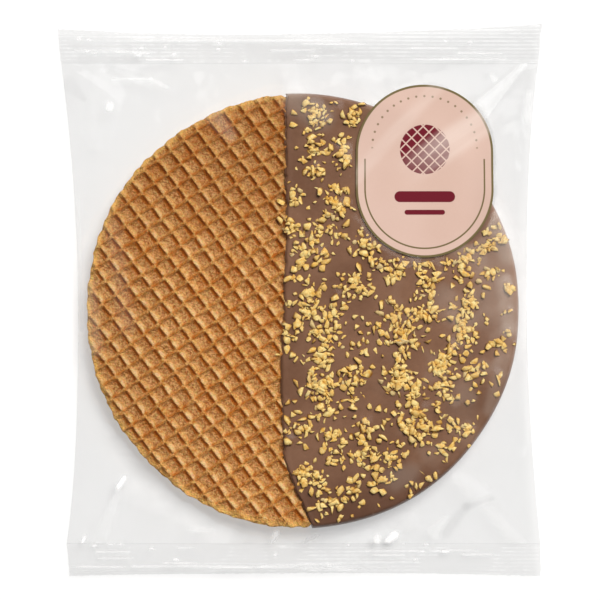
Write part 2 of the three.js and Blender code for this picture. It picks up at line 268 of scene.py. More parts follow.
# %% [markdown]
# ## The bag's outline
# A flow-wrap bag is a tube of film, sealed flat at both ends. The waffle fills it, so the
# tube is pulled in at the waist and flares towards the seals. The seam height says how
# high the two films meet above the table: it waves a little along the free seals.

# %% Outline of the bag


def side_x(side, y):
    """X of one side fold: its waist plus a flare that grows with a power of the distance
    from the middle, and past the seal line a straight lean."""
    waist, upper, lower = side
    flare, power, lean = (np.where(y >= 0, above, below) for above, below in zip(upper, lower))
    seal = np.where(y >= 0, UPPER_SEAL_Y, -LOWER_SEAL_Y)
    share = np.minimum(np.abs(y) / seal, 1)
    past = np.maximum(0, np.abs(y) - seal) / SEAL_LENGTH
    return waist + flare * share ** power + lean * past


def upper_edge_y(x):
    """Cut edge of the upper seal: a shallow bow that rises to the right."""
    return 92.7 + 4.2 * ((x + 15) / 100) ** 2


def lower_edge_y(x):
    """Cut edge of the lower seal: a shallow bow."""
    return -95.4 - 1.1 * (x / 80) ** 2


def seam_height(x, y):
    """Height where upper and lower film meet: the fold height, plus a slow wave that
    grows towards each free seal."""
    upper_share = np.clip((y - 60) / (UPPER_SEAL_Y + SEAL_LENGTH - 60), 0, 1)
    lower_share = np.clip((-y - 62) / (-LOWER_SEAL_Y + SEAL_LENGTH - 62), 0, 1)
    upper_wave = 1.1 * np.sin(x / 17 + 0.6) - 0.5
    lower_wave = 1.0 * np.sin(x / 21 + 2.4) - 0.9
    return FOLD_HEIGHT + upper_share * upper_wave + lower_share * lower_wave


# %% Film heights


def inset(x, y):
    """Distance from the nearest side fold or seal line, inside the bag."""
    left = x - side_x(LEFT_SIDE, y)
    right = side_x(RIGHT_SIDE, y) - x
    return np.minimum(np.minimum(left, right), np.minimum(UPPER_SEAL_Y - y, y - LOWER_SEAL_Y))


def slack_share(x, y):
    """How far the film has come down from the waffle's rim, 0, to the seam, 1."""
    outside = np.maximum(0, from_waffle(x, y) - WAFFLE_RADIUS)
    to_edge = np.maximum(0, inset(x, y))
    return np.where(to_edge <= 0, 1.0, outside / np.maximum(outside + to_edge, 1e-6))


def crown_height(x):
    """Height at which the film leaves the rim: a little higher on the coated side."""
    return lerp(CROWN_WAFFLE_SIDE, CROWN_CHOCOLATE_SIDE, smooth(x, -20, 10))


def tent(x, y):
    """Plain form of the upper film outside the waffle: it falls from the crown to the seam
    as a power of the share that is left."""
    seam = seam_height(x, y)
    return seam + (crown_height(x) - seam) * (1 - slack_share(x, y)) ** TENT_POWER


def film_under(x, y):
    """The lower film: flat under the waffle, rising to the seam like the upper one."""
    seam = seam_height(x, y)
    return FILM_BASE + (seam - FILM_BASE) * (1 - (1 - slack_share(x, y)) ** TENT_POWER)


waist = side_x(RIGHT_SIDE, 0.0) - side_x(LEFT_SIDE, 0.0)
print("waist of the bag:", round(float(waist), 1), "mm")

# %% [markdown]
# ## Chocolate coat: heights and outline
# The coat is a dip, so it wraps the rim and the underside too. From above its edge is a
# slow curve that curls to the right at the lower rim. Its top is smooth with faint dents.

# %% Coat height and edge


def chocolate_edge_x(y):
    """X of the coat's edge: nearly straight, curling right near the lower rim."""
    slow = CHOCOLATE_EDGE_X + 0.8 * np.sin(y / 19)
    curl = CHOCOLATE_EDGE_CURL * smooth(-y, 45, 90) ** 1.4
    return slow + curl + 1.2 * smooth(y, 40, 75)


def coat_height(x, y):
    """Top of the coat: level, with two sizes of ripple, and a low lip along its edge."""
    dents = 0.13 * ripple(x, y, 11.0, 31) + 0.05 * ripple(x, y, 4.2, 32)
    lip = 0.12 * bell(x - chocolate_edge_x(y) - 1.3, 0.8)
    return CHOCOLATE_TOP + dents + lip


def rim_radius(angle):
    """The hand-cut rim is not quite round: two slow waves on a circle, which is a little
    wider towards the lower right and flat on the right."""
    waves = RIM_UNEVENNESS * (0.6 * np.sin(3 * angle + 0.7) + 0.4 * np.sin(7 * angle + 2.1))
    return WAFFLE_RADIUS + 0.25 + 0.5 * np.cos(angle + 0.8) + waves - 0.8 * bell(angle + 0.02, 0.22)


print("coat's edge at the middle: x =", round(float(chocolate_edge_x(0.0)), 1), "mm")

# %% [markdown]
# ## Nuts: where they lie
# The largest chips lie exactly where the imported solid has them, so the same seeded rule
# is repeated here. Around them come many smaller chips in clusters, as they fall from a
# spoon. None lie under the sticker, where they could not be seen.

# %% Where the clumps lie
NUT_SEED = 20417
NUT_THROWS = 9000
NUT_COUNT = 150
NUT_RADIUS_MAX = 2.15
NUT_RADIUS_MIN = 1.15
NUT_SPACING = 0.8
# each clump: x and y of its middle, and its reach
NUT_CLUMPS = np.array([
    (6, 63, 4.5), (19.5, 63.5, 3), (5.5, 53.5, 4), (15.5, 54.5, 3), (11, 50, 3), (15.5, 47, 4),
    (3.5, 44.5, 3.5), (-1, 36, 2.5), (10.5, 34, 5), (17.5, 34, 3), (-3.5, 24, 4), (7, 24, 5),
    (23, 20, 4), (5, 15.5, 5.5), (28, 13, 4), (34, 10, 5), (43.5, 11, 5), (56, 13.5, 6), (66, 20, 4),
    (67, 9, 3), (73, 4.5, 2), (19, 6, 5.5), (45, 4, 4), (4.5, 2, 3), (2.5, -3.5, 5), (12, -4.5, 5),
    (31, -3.5, 5), (44, -4, 4.5), (59, -4, 5.5), (70, -5, 2), (-2, -11, 4), (9, -10.5, 5.5),
    (19.5, -18, 4), (8.5, -19.5, 4), (36, -13, 7.5), (56, -11, 6), (51, -22, 5.5), (60, -24.5, 3.5),
    (70, -14.5, 3), (19.5, -26, 4.5), (33.5, -26, 5), (7, -31, 5), (40.5, -31, 5), (49, -30.5, 3),
    (8, -38.5, 4.5), (18, -34, 3), (23.5, -45, 4), (40.5, -43, 7.5), (1, -44, 4), (11, -47.5, 3.5),
    (54, -45, 4), (49, -51, 2.5), (33, -53, 5), (24, -55, 4), (2, -61, 5.5), (13, -55, 3),
    (11, -69, 4), (27.5, -62, 3.5), (19, -66, 3), (39.5, -66, 2),
])
SMALL_NUT_SEED = 77
SMALL_NUT_THROWS = 18300


def seeded_stream(seed):
    """Repeatable numbers from 0 to 1: each state is the last times 16807, modulo a prime."""
    state = seed
    while True:
        state = (state * 16807) % 2147483647
        yield state / 2147483647


def nut_density(x, y):
    """Chance that a chip stays where it is thrown: full inside a clump, slight between them."""
    apart = np.hypot(np.subtract.outer(x, NUT_CLUMPS[:, 0]), np.subtract.outer(y, NUT_CLUMPS[:, 1]))
    return 0.03 + bell(apart, NUT_CLUMPS[:, 2]).max(axis=-1)


def from_label(x, y):
    """Distance outside the sticker's stadium outline, negative inside it."""
    beyond = np.maximum(0, np.abs(y - LABEL_CENTRE[1]) - LABEL_STRAIGHT)
    return np.hypot(x - LABEL_CENTRE[0], beyond) - LABEL_WIDTH / 2


print("clumps:", len(NUT_CLUMPS))

# %% Throw the chips


def large_nut_places():
    """Rows of x, y, radius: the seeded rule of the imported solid, step by step."""
    stream = seeded_stream(NUT_SEED)
    places = []
    for _ in range(NUT_THROWS):
        if len(places) == NUT_COUNT:
            break
        angle, reach_share, luck, _turn = (next(stream) for _ in range(4))
        reach = (WAFFLE_RADIUS - 1.2) * math.sqrt(reach_share)
        x = WAFFLE_CENTRE[0] + reach * math.cos(2 * math.pi * angle)
        y = WAFFLE_CENTRE[1] + reach * math.sin(2 * math.pi * angle)
        radius = lerp(NUT_RADIUS_MAX, NUT_RADIUS_MIN, (len(places) / NUT_COUNT) ** 0.6)
        coated = x - chocolate_edge_x(y) > 0.7 * radius
        open_air = from_label(x, y) > radius + 0.9
        clear = all(math.hypot(px - x, py - y) > NUT_SPACING * (pr + radius) for px, py, pr in places)
        if coated and open_air and clear and luck < nut_density(x, y):
            places.append((x, y, radius))
    return np.array(places)


def small_nut_places(large):
    """Smaller chips: thrown evenly, kept more often near a large one, few past the edge."""
    rng = np.random.default_rng(SMALL_NUT_SEED)
    angle = rng.uniform(0, 2 * math.pi, SMALL_NUT_THROWS)
    reach = WAFFLE_RADIUS * np.sqrt(rng.uniform(0, 1, SMALL_NUT_THROWS))
    x, y = round_waffle(reach, angle)
    radius = 0.65 + 1.45 * rng.beta(1.6, 2.0, SMALL_NUT_THROWS)
    apart = np.hypot(np.subtract.outer(x, large[:, 0]), np.subtract.outer(y, large[:, 1]))
    nearest = np.min(apart - large[:, 2], axis=1)
    chance = (0.06 + 0.94 * nut_density(x, y) ** 1.4) * (0.42 + 0.5 * bell(nearest - 0.8, 1.6))
    over_edge = x - chocolate_edge_x(y)
    coated = over_edge > np.where(rng.uniform(0, 1, SMALL_NUT_THROWS) < 0.25, -2.6, 0.2)
    open_air = from_label(x, y) > radius + 0.3
    keep = coated & open_air & (nearest > -0.25) & (rng.uniform(0, 1, SMALL_NUT_THROWS) < chance)
    return np.stack([x, y, radius], axis=1)[keep]


large_nuts = large_nut_places()
small_nuts = small_nut_places(large_nuts)
nut_places = np.concatenate([large_nuts, small_nuts])
print("nuts:", len(large_nuts), "large and", len(small_nuts), "small")

# %% [markdown]
# ## Nut chips
# A chopped nut is an angular lump with flat cuts. A few dozen lumps are made as the
# convex hull of random points with `bmesh`, and then each chip is a copy of one of them,
# turned, stretched, cut flat on top and set into the coat, all joined in one mesh.

# %% Forms of a chip
CHIP_FORMS = 28
CHIP_SEED = 5
CHIP_CUT_HEIGHT = 1.35


def chip_form(rng):
    """One lump: hull of a few random points near a ball, cut once finer and hardly softened."""
    form = bmesh.new()
    for _ in range(rng.integers(7, 12)):
        direction = rng.normal(size=3)
        form.verts.new(direction / np.linalg.norm(direction) * rng.uniform(0.72, 1.0))
    bmesh.ops.convex_hull(form, input=form.verts)
    loose = [v for v in form.verts if not v.link_faces]
    bmesh.ops.delete(form, geom=loose, context="VERTS")
    bmesh.ops.subdivide_edges(form, edges=form.edges, cuts=1, use_grid_fill=True)
    bmesh.ops.smooth_vert(form, verts=form.verts, factor=0.06,
                          use_axis_x=True, use_axis_y=True, use_axis_z=True)
    bmesh.ops.triangulate(form, faces=form.faces)
    bmesh.ops.recalc_face_normals(form, faces=form.faces)
    form.verts.index_update()
    points = np.array([v.co[:] for v in form.verts])
    triangles = np.array([[v.index for v in face.verts] for face in form.faces])
    form.free()
    return points, triangles


def turned(points, rng):
    """Points turned by a random rotation: the unit quaternion of four normal numbers."""
    quaternion = rng.normal(size=4)
    w, x, y, z = quaternion / np.linalg.norm(quaternion)
    rotation = np.array([
        [1 - 2 * (y * y + z * z), 2 * (x * y - z * w), 2 * (x * z + y * w)],
        [2 * (x * y + z * w), 1 - 2 * (x * x + z * z), 2 * (y * z - x * w)],
        [2 * (x * z - y * w), 2 * (y * z + x * w), 1 - 2 * (x * x + y * y)],
    ])
    return points @ rotation.T


def shaped_chip(form, radius, rng):
    """One chip about its own middle: a lump turned, stretched, spun, sized and cut flat on
    top. Also returns the height that it had before the cut."""
    stretch = np.array([0.95 + 0.85 * rng.beta(1, 2.5), rng.uniform(0.75, 1.1), rng.uniform(0.6, 0.9)])
    lump = turned(form, rng) * stretch
    angle = rng.uniform(0, 2 * math.pi)
    spin = np.array([[math.cos(angle), -math.sin(angle)], [math.sin(angle), math.cos(angle)]])
    lump[:, :2] = lump[:, :2] @ spin.T
    lump *= 1.04 * radius
    height = lump[:, 2].max()
    lump[:, 2] = np.minimum(lump[:, 2], min(CHIP_CUT_HEIGHT, height * rng.uniform(0.45, 1.0)))
    return lump, height


# %% Set the chips into the coat


def chips(places, seed):
    """Join one chip for each place. Returns their points, faces, tones and rises, and each
    chip's highest point and its reach. The rise is 0 at the coat and 1 near the tip."""
    rng = np.random.default_rng(seed)
    forms = [chip_form(rng) for _ in range(CHIP_FORMS)]
    points, faces, tones, rises, tops, reaches, count = [], [], [], [], [], [], 0
    for x, y, radius in places:
        form, triangles = forms[rng.integers(CHIP_FORMS)]
        lump, height = shaped_chip(form, radius, rng)
        ground = coat_height(x, y) if x > chocolate_edge_x(y) else WAFFLE_TOP - 0.2
        lump += (x, y, ground + 0.4 * height)
        points.append(lump)
        faces.append(triangles + count)
        tones.append(np.full(len(lump), rng.uniform()))
        rises.append(np.clip((lump[:, 2] - ground) / (1.3 * height), 0, 1))
        tops.append(lump[:, 2].max())
        reaches.append(np.hypot(lump[:, 0] - x, lump[:, 1] - y).max())
        count += len(lump)
    joined = (np.concatenate(part) for part in (points, faces, tones, rises))
    return *joined, np.array(tops), np.array(reaches)


nut_points, nut_faces, nut_tones, nut_rises, nut_tops, nut_reaches = chips(nut_places, CHIP_SEED)
print("highest chip:", round(nut_tops.max(), 2), "mm")

# %% [markdown]
# ## Letting the film settle
# The upper film is a tight skin over an uneven waffle: it touches ridges and nut tips and
# spans the gaps between. That is the *obstacle problem*: start from a plain tent, replace
# each height by the mean of its neighbours, and lift it back wherever it sinks into the
# waffle. A few hundred rounds on a half-millimetre grid take a second or two.

# %% Heights of what the film lies on
FILM_STEP = 0.5
FILM_CLEARANCE = 0.15
film_xs = np.arange(-86.0, 86.0 + FILM_STEP, FILM_STEP)
film_ys = np.arange(-99.0, 99.0 + FILM_STEP, FILM_STEP)
grid_x, grid_y = np.meshgrid(film_xs, film_ys)


def obstacle_map():
    """Lowest height that the film may have at each grid point: the waffle, coat and nuts
    with a small clearance, and minus infinity outside the waffle."""
    distance = from_waffle(grid_x, grid_y)
    overhang = CHOCOLATE_OVERHANG * smooth(grid_x - chocolate_edge_x(grid_y), -1, 1)
    depth_inside = rim_radius(waffle_angle(grid_x, grid_y)) + overhang - distance
    rounding = bell(np.maximum(depth_inside, 0), 0.9)
    bare = WAFFLE_TOP + 0.1 - 0.5 * rounding
    coated = coat_height(grid_x, grid_y) - rounding
    solid = np.where(grid_x > chocolate_edge_x(grid_y), coated, bare)
    solid = np.where(depth_inside > -0.7, solid + FILM_CLEARANCE, -np.inf)
    for (x, y, _), top, reach in zip(nut_places, nut_tops, nut_reaches):
        i = slice(*np.searchsorted(film_xs, (x - reach, x + reach)) + np.array([-2, 2]))
        j = slice(*np.searchsorted(film_ys, (y - reach, y + reach)) + np.array([-2, 2]))
        away = np.hypot(grid_x[j, i] - x, grid_y[j, i] - y) / max(reach, 0.35)
        bump = np.where(away < 1.3, top + FILM_CLEARANCE - 0.15 * away ** 4, -np.inf)
        solid[j, i] = np.maximum(solid[j, i], bump)
    return solid


solid_map = obstacle_map()
print("highest place under the film:", round(solid_map.max(), 2), "mm")

# %% Relaxing the heights
SETTLING_ROUNDS = 260


def settled(start, obstacle, free, rounds):
    """Relax heights towards the mean of their four neighbours, never below the obstacle."""
    height = np.maximum(start, np.where(free, obstacle, -np.inf))
    for _ in range(rounds):
        mean = (height[2:, 1:-1] + height[:-2, 1:-1] + height[1:-1, 2:] + height[1:-1, :-2]) / 4
        relaxed = np.maximum(mean, obstacle[1:-1, 1:-1])
        height[1:-1, 1:-1] = np.where(free[1:-1, 1:-1], relaxed, height[1:-1, 1:-1])
    return height


# %% [markdown]
# ## Creases in the slack film
# Where nothing fills the bag the film hangs in flat facets that meet in soft creases.
# Each crease is a ridge along a straight line: a bell across it, a half wave along it.

# %% Creases
CREASES = (
    # x and y of the start, x and y of the end, width, height
    (81.0, 83.0, 56.0, 62.0, 3.2, 0.9),
    (76.0, 60.0, 79.5, 36.0, 1.6, 0.5),
    (-58.8, -62.0, -70.5, -86.0, 2.2, 0.8),
    (-74.0, -70.0, -80.0, -86.0, 1.6, 0.5),
    (56.0, -60.0, 81.0, -86.0, 2.4, 0.7),
    (46.0, -70.0, 62.0, -86.0, 1.8, 0.4),
    (-83.0, 83.0, -62.0, 68.0, 2.0, 0.7),
    (-70.0, 84.0, -52.0, 72.0, 1.8, 0.4),
    (-30.0, 84.0, -22.0, 73.0, 2.4, 0.35),
    (14.0, 84.0, 10.0, 74.0, 2.6, 0.35),
    (-36.0, -87.0, -28.0, -76.0, 1.5, 0.35),
    (-8.0, -87.0, -3.0, -80.0, 1.3, 0.3),
    (26.0, -87.0, 28.0, -76.0, 1.6, 0.4),
    (34.0, -87.0, 33.0, -79.0, 1.2, 0.35),
)


def crease(x, y, x0, y0, x1, y1, width, height):
    """Height of one crease at each point: it swells and fades along its line, and widens
    from its start to its end."""
    length = math.hypot(x1 - x0, y1 - y0)
    along = ((x - x0) * (x1 - x0) + (y - y0) * (y1 - y0)) / length
    across = ((x - x0) * (y1 - y0) - (y - y0) * (x1 - x0)) / length
    swell = np.sin(np.pi * np.clip(along / length, 0, 1)) ** 0.7
    return height * swell * bell(across, width * (0.55 + 0.6 * np.clip(along / length, 0, 1)))


def creases(x, y):
    """All creases and a slow sag, growing with the distance from the waffle's rim."""
    loose = smooth(from_waffle(x, y) - WAFFLE_RADIUS, 1.3, 9)
    held = smooth(inset(x, y), 0.0, 3.0)
    lines = sum(crease(x, y, *line) for line in CREASES)
    facets = 0.5 - 1.1 * np.abs(ripple(x, y, 17.0, 11)) + 0.3 * np.abs(ripple(x, y, 7.0, 12))
    over_rim = 0.4 * (1 - loose) * lines * smooth(from_waffle(x, y), 68, 76)
    return loose * held * (lines + facets) + over_rim


def label_under(x, y):
    """Underside of the sticker: level over the coat, bending down past the waffle's rim."""
    level = LABEL_TOP - LABEL_THICKNESS
    bend = smooth(from_waffle(x, y), WAFFLE_RADIUS - 1.5, WAFFLE_RADIUS + 9)
    waves = 0.06 * ripple(x * 0.8 + y * 0.6, (y * 0.8 - x * 0.6) * 2, 12.0, 81)
    return lerp(level, tent(x, y) + 0.95, bend) + waves * smooth(-from_label(x, y), 0, 3)


print("highest crease:", round(creases(grid_x, grid_y).max(), 2), "mm")

# %% Settle the film
inside_bag = inset(grid_x, grid_y) > 0
under_label = from_label(grid_x, grid_y) < 0.3
solid_map = np.where(under_label, label_under(grid_x, grid_y) - 0.05, solid_map)
film_map = settled(tent(grid_x, grid_y), solid_map, inside_bag, SETTLING_ROUNDS)
film_map = film_map + creases(grid_x, grid_y) * ~under_label
film_map = np.where(under_label, solid_map, film_map)


def read_map(heights, x, y):
    """Height at any place: a straight blend of the four nearest grid heights."""
    u = np.clip((x - film_xs[0]) / FILM_STEP, 0, len(film_xs) - 1.001)
    v = np.clip((y - film_ys[0]) / FILM_STEP, 0, len(film_ys) - 1.001)
    i, j = u.astype(int), v.astype(int)
    low = lerp(heights[j, i], heights[j, i + 1], u - i)
    high = lerp(heights[j + 1, i], heights[j + 1, i + 1], u - i)
    return lerp(low, high, v - j)


print("film top:", round(film_map.max(), 2), "mm")

# %% [markdown]
# ## Colours and how they are mixed
# Nothing baked is one flat colour. One node group makes an uneven, grainy mix of a light
# and a dark colour and a fine height for the bump; wafer, nuts, chocolate and sticker each
# use it with their own values. Textures read Object coordinates, so they stay in place.

# %% Node helpers


def new_material(name):
    """An empty node material; returns it with its node tree."""
    material = bpy.data.materials.new(name)
    material.use_nodes = True
    material.node_tree.nodes.clear()
    print("material:", name)
    return material, material.node_tree


def add_node(tree, kind, settings=None, **inputs):
    """Add a node, set its properties, and fill or link its inputs. An input is named by its
    socket, with _ for a space, or by i and its number. It holds a value or another node's
    output."""
    node = tree.nodes.new(kind)
    for key, value in (settings or {}).items():
        setattr(node, key, value)
    for key, value in inputs.items():
        by_number = key[0] == "i" and key[1:].isdigit()
        socket = node.inputs[int(key[1:]) if by_number else key.replace("_", " ")]
        if isinstance(value, bpy.types.NodeSocket):
            tree.links.new(value, socket)
        else:
            socket.default_value = value
    return node


def calc(tree, operation, *values, clamp=False):
    """One Math node; returns its output."""
    inputs = {f"i{k}": value for k, value in enumerate(values)}
    settings = {"operation": operation, "use_clamp": clamp}
    return add_node(tree, "ShaderNodeMath", settings, **inputs).outputs[0]


# %% Vectors, blends and masks


def vector_calc(tree, operation, *vectors):
    """One Vector Math node; returns its vector, or its number where the result is one."""
    inputs = {f"i{k}": vector for k, vector in enumerate(vectors)}
    outputs = add_node(tree, "ShaderNodeVectorMath", {"operation": operation}, **inputs).outputs
    return outputs["Value" if operation in ("DISTANCE", "DOT_PRODUCT") else "Vector"]


def axes_of(tree, vector):
    """X, Y and Z of a vector as three outputs."""
    return add_node(tree, "ShaderNodeSeparateXYZ", None, Vector=vector).outputs


def mix_colour(tree, factor, a, b):
    """Blend of two colours: a at factor 0, b at factor 1."""
    return add_node(tree, "ShaderNodeMix", {"data_type": "RGBA"}, i0=factor, i6=a, i7=b).outputs[2]


def band(tree, value, low, high, full=1.0):
    """A mask that is 0 at low and beyond, full at high and beyond, and smooth between. It
    falls instead of rising where low is the larger of the two."""
    return add_node(tree, "ShaderNodeMapRange", {"interpolation_type": "SMOOTHSTEP"},
                    Value=value, From_Min=low, From_Max=high, To_Max=full).outputs[0]


def noise(tree, place, scale, detail=2.0, roughness=0.5):
    """Soft noise with this many waves to the metre: its value and its colour."""
    return add_node(tree, "ShaderNodeTexNoise", None, Vector=place, Scale=scale,
                    Detail=detail, Roughness=roughness).outputs


# %% Colours, and what the mesh stores


def colour(red, green, blue):
    """A linear colour from the three values that a painter would pick on screen (0 to 255)."""
    def linear(value):
        """The screen's own curve: a straight foot, then a power of 2.4."""
        share = value / 255
        return share / 12.92 if share <= 0.04045 else ((share + 0.055) / 1.055) ** 2.4
    return (linear(red), linear(green), linear(blue), 1.0)


def object_place(tree):
    """Object coordinates."""
    return add_node(tree, "ShaderNodeTexCoord").outputs["Object"]


def stored(tree, name, output="Fac"):
    """What the mesh stores at each vertex under this name."""
    return add_node(tree, "ShaderNodeAttribute", {"attribute_name": name}).outputs[output]


print("mid grey on screen is", round(colour(128, 128, 128)[0], 3), "in light")

# %% The grain group


def new_group(name, inputs, outputs):
    """An empty node group with named sockets. Returns it, the sockets that bring its inputs
    and those that take its outputs."""
    group = bpy.data.node_groups.new(name, "ShaderNodeTree")
    for direction, sockets in (("INPUT", inputs), ("OUTPUT", outputs)):
        for socket, kind in sockets.items():
            group.interface.new_socket(socket, in_out=direction, socket_type="NodeSocket" + kind)
    source = group.nodes.new("NodeGroupInput").outputs
    sink = group.nodes.new("NodeGroupOutput").inputs
    return group, source, sink


def build_grain():
    """Group: light and dark colour mixed by a slow mottle and a fine grain."""
    inputs = {"Vector": "Vector", "Light": "Color", "Dark": "Color", "Fine Scale": "Float",
              "Mottle Scale": "Float", "Grain Share": "Float"}
    group, source, sink = new_group("grain", inputs, {"Color": "Color", "Height": "Float"})
    fine = noise(group, source["Vector"], source["Fine Scale"], 3.0, 0.65)[0]
    slow = noise(group, source["Vector"], source["Mottle Scale"])[0]
    weighted = calc(group, "MULTIPLY", band(group, fine, 0.3, 0.7), source["Grain Share"])
    rest = calc(group, "SUBTRACT", 1.0, source["Grain Share"])
    mottle = calc(group, "MULTIPLY", band(group, slow, 0.3, 0.7), rest)
    total = calc(group, "ADD", weighted, mottle, clamp=True)
    group.links.new(mix_colour(group, total, source["Dark"], source["Light"]), sink["Color"])
    group.links.new(fine, sink["Height"])
    return group


grain_group = build_grain()
print("grain group:", len(grain_group.nodes), "nodes")


def grain(tree, place, light, dark, fine, mottle, share):
    """Place the grain group in a material; returns its Color and Height outputs."""
    node = add_node(tree, "ShaderNodeGroup", {"node_tree": grain_group}, Vector=place, Light=light,
                    Dark=dark, Fine_Scale=fine, Mottle_Scale=mottle, Grain_Share=share)
    return node.outputs["Color"], node.outputs["Height"]


def finish_surface(tree, base, roughness, height=None, strength=0.3, distance=0.0001, **fixed):
    """Principled surface with an optional bump, wired to the material's output."""
    surface = add_node(tree, "ShaderNodeBsdfPrincipled", None, Base_Color=base, Roughness=roughness,
                       **fixed)
    if height is not None:
        bump = add_node(tree, "ShaderNodeBump", None, Height=height, Strength=strength, Distance=distance)
        tree.links.new(bump.outputs[0], surface.inputs["Normal"])
    add_node(tree, "ShaderNodeOutputMaterial", None, Surface=surface.outputs[0])
    return surface


# %% [markdown]
# ## Finish of the wafer
# Baked wafer is golden on its ridges and slopes and duller on the pit floors, with a fine
# crumb. Three vertex attributes steer it: `depth` is how deep a point lies in its pit,
# `toast_and_painted_light` is 1 where it is browned or darkened by painted shade and -1 where a painted
# highlight pales it, and `cut` is 1 at the cut rim.

# %% Wafer material
WAFER_SLOPE = (colour(243, 192, 120), colour(184, 110, 28))
WAFER_FLOOR = (colour(230, 177, 114), colour(147, 82, 20))
WAFER_TOAST_AND_SHADE = colour(188, 103, 22)
WAFER_PAINTED_HIGHLIGHT = colour(239, 196, 138)
WAFER_CUT_CRUMB_AND_LIGHT = colour(248, 196, 110)
WAFER_PAINTED_SHADE = colour(120, 80, 46)
MID_GREY = (0.5, 0.5, 0.5, 1)


def wafer_finish():
    """Slopes and floors in two grainy colours, flanks browned or darkened by painted shade and
    shoulders paled by a painted highlight, pale crumbs at the cut rim that also lift its shaded side with
    painted light, small changes of hue, and painted shade above and to the left."""
    material, tree = new_material("baked_wafer")
    place = object_place(tree)
    slope, _ = grain(tree, place, *WAFER_SLOPE, 1000.0, 300.0, 0.75)
    floor, crumb = grain(tree, place, *WAFER_FLOOR, 1050.0, 300.0, 0.8)
    toast_and_painted_light = stored(tree, "toast_and_painted_light")
    base = mix_colour(tree, band(tree, stored(tree, "depth"), 0.5, 1.0), slope, floor)
    # browning and painted shade darken, a painted highlight pales
    base = mix_colour(tree, band(tree, toast_and_painted_light, 0.0, 1.0), base, WAFER_TOAST_AND_SHADE)
    base = mix_colour(tree, band(tree, toast_and_painted_light, 0.0, -1.0), base, WAFER_PAINTED_HIGHLIGHT)
    # pale crumbs of the cut rim, and painted light that lifts the rim's side where it faces away from the
    # lamp
    crumbs = band(tree, noise(tree, place, 420.0)[0], 0.3, 0.65)
    crust_and_light = calc(tree, "MULTIPLY", stored(tree, "cut"), calc(tree, "MULTIPLY_ADD", crumbs, 0.5, 0.3))
    base = mix_colour(tree, crust_and_light, base, WAFER_CUT_CRUMB_AND_LIGHT)
    # a hue of mid grey changes nothing, because the product is doubled again
    hues = mix_colour(tree, 0.35, MID_GREY, noise(tree, place, 1500.0, roughness=0.6)[1])
    base = vector_calc(tree, "MULTIPLY", vector_calc(tree, "MULTIPLY", base, hues), (2.0, 2.0, 2.0))
    x, y, _ = axes_of(tree, place)
    # painted shade: darker and browner above and to the left
    above, left = band(tree, y, 0.0, 0.055, 0.2), band(tree, x, -0.03, -0.07, 0.12)
    base = mix_colour(tree, calc(tree, "MAXIMUM", above, left), base, WAFER_PAINTED_SHADE)
    pores = add_node(tree, "ShaderNodeTexVoronoi", None, Vector=place, Scale=1500.0).outputs["Distance"]
    height = calc(tree, "ADD", crumb, calc(tree, "MULTIPLY", pores, 0.7))
    finish_surface(tree, base, 0.6, height, 1.0, 0.0005, IOR=1.42)
    return material


wafer_material = wafer_finish()

# %% [markdown]
# ## The two wafers
# Each wafer is a height field on the iron's own grid: sample lines run along the ridges,
# close together on a ridge's shoulders and wide on the pit floor, so that few faces give
# crisp ridges. Grid faces inside the rim are kept, and a strip sewn by angle joins them to
# a smooth rim ring.

# %% Lines of the baking iron
# where the sample lines run within one pitch
SAMPLES_ACROSS = (0.0, 0.05, 0.11, 0.18, 0.25, 0.33, 0.45, 0.58, 0.71, 0.82, 0.89, 0.96)
SAMPLES_ALONG = (0.0, 0.04, 0.09, 0.15, 0.25, 0.37, 0.5, 0.63, 0.75, 0.85, 0.91, 0.96)


def to_grid(x, y):
    """Bag axes to the iron's axes, in pitches from the waffle's middle."""
    dx, dy = x - WAFFLE_CENTRE[0], y - WAFFLE_CENTRE[1]
    c, s = math.cos(GRID_ANGLE), math.sin(GRID_ANGLE)
    return (dx * c + dy * s) / GRID_PITCH, (dx * s - dy * c) / GRID_PITCH


def from_grid(u, v):
    """The iron's axes back to bag axes."""
    c, s = math.cos(GRID_ANGLE), math.sin(GRID_ANGLE)
    return (WAFFLE_CENTRE[0] + (u * c + v * s) * GRID_PITCH,
            WAFFLE_CENTRE[1] + (u * s - v * c) * GRID_PITCH)


print("pits across the waffle:", round(2 * WAFFLE_RADIUS / GRID_PITCH, 1))

# %% Form of a pit


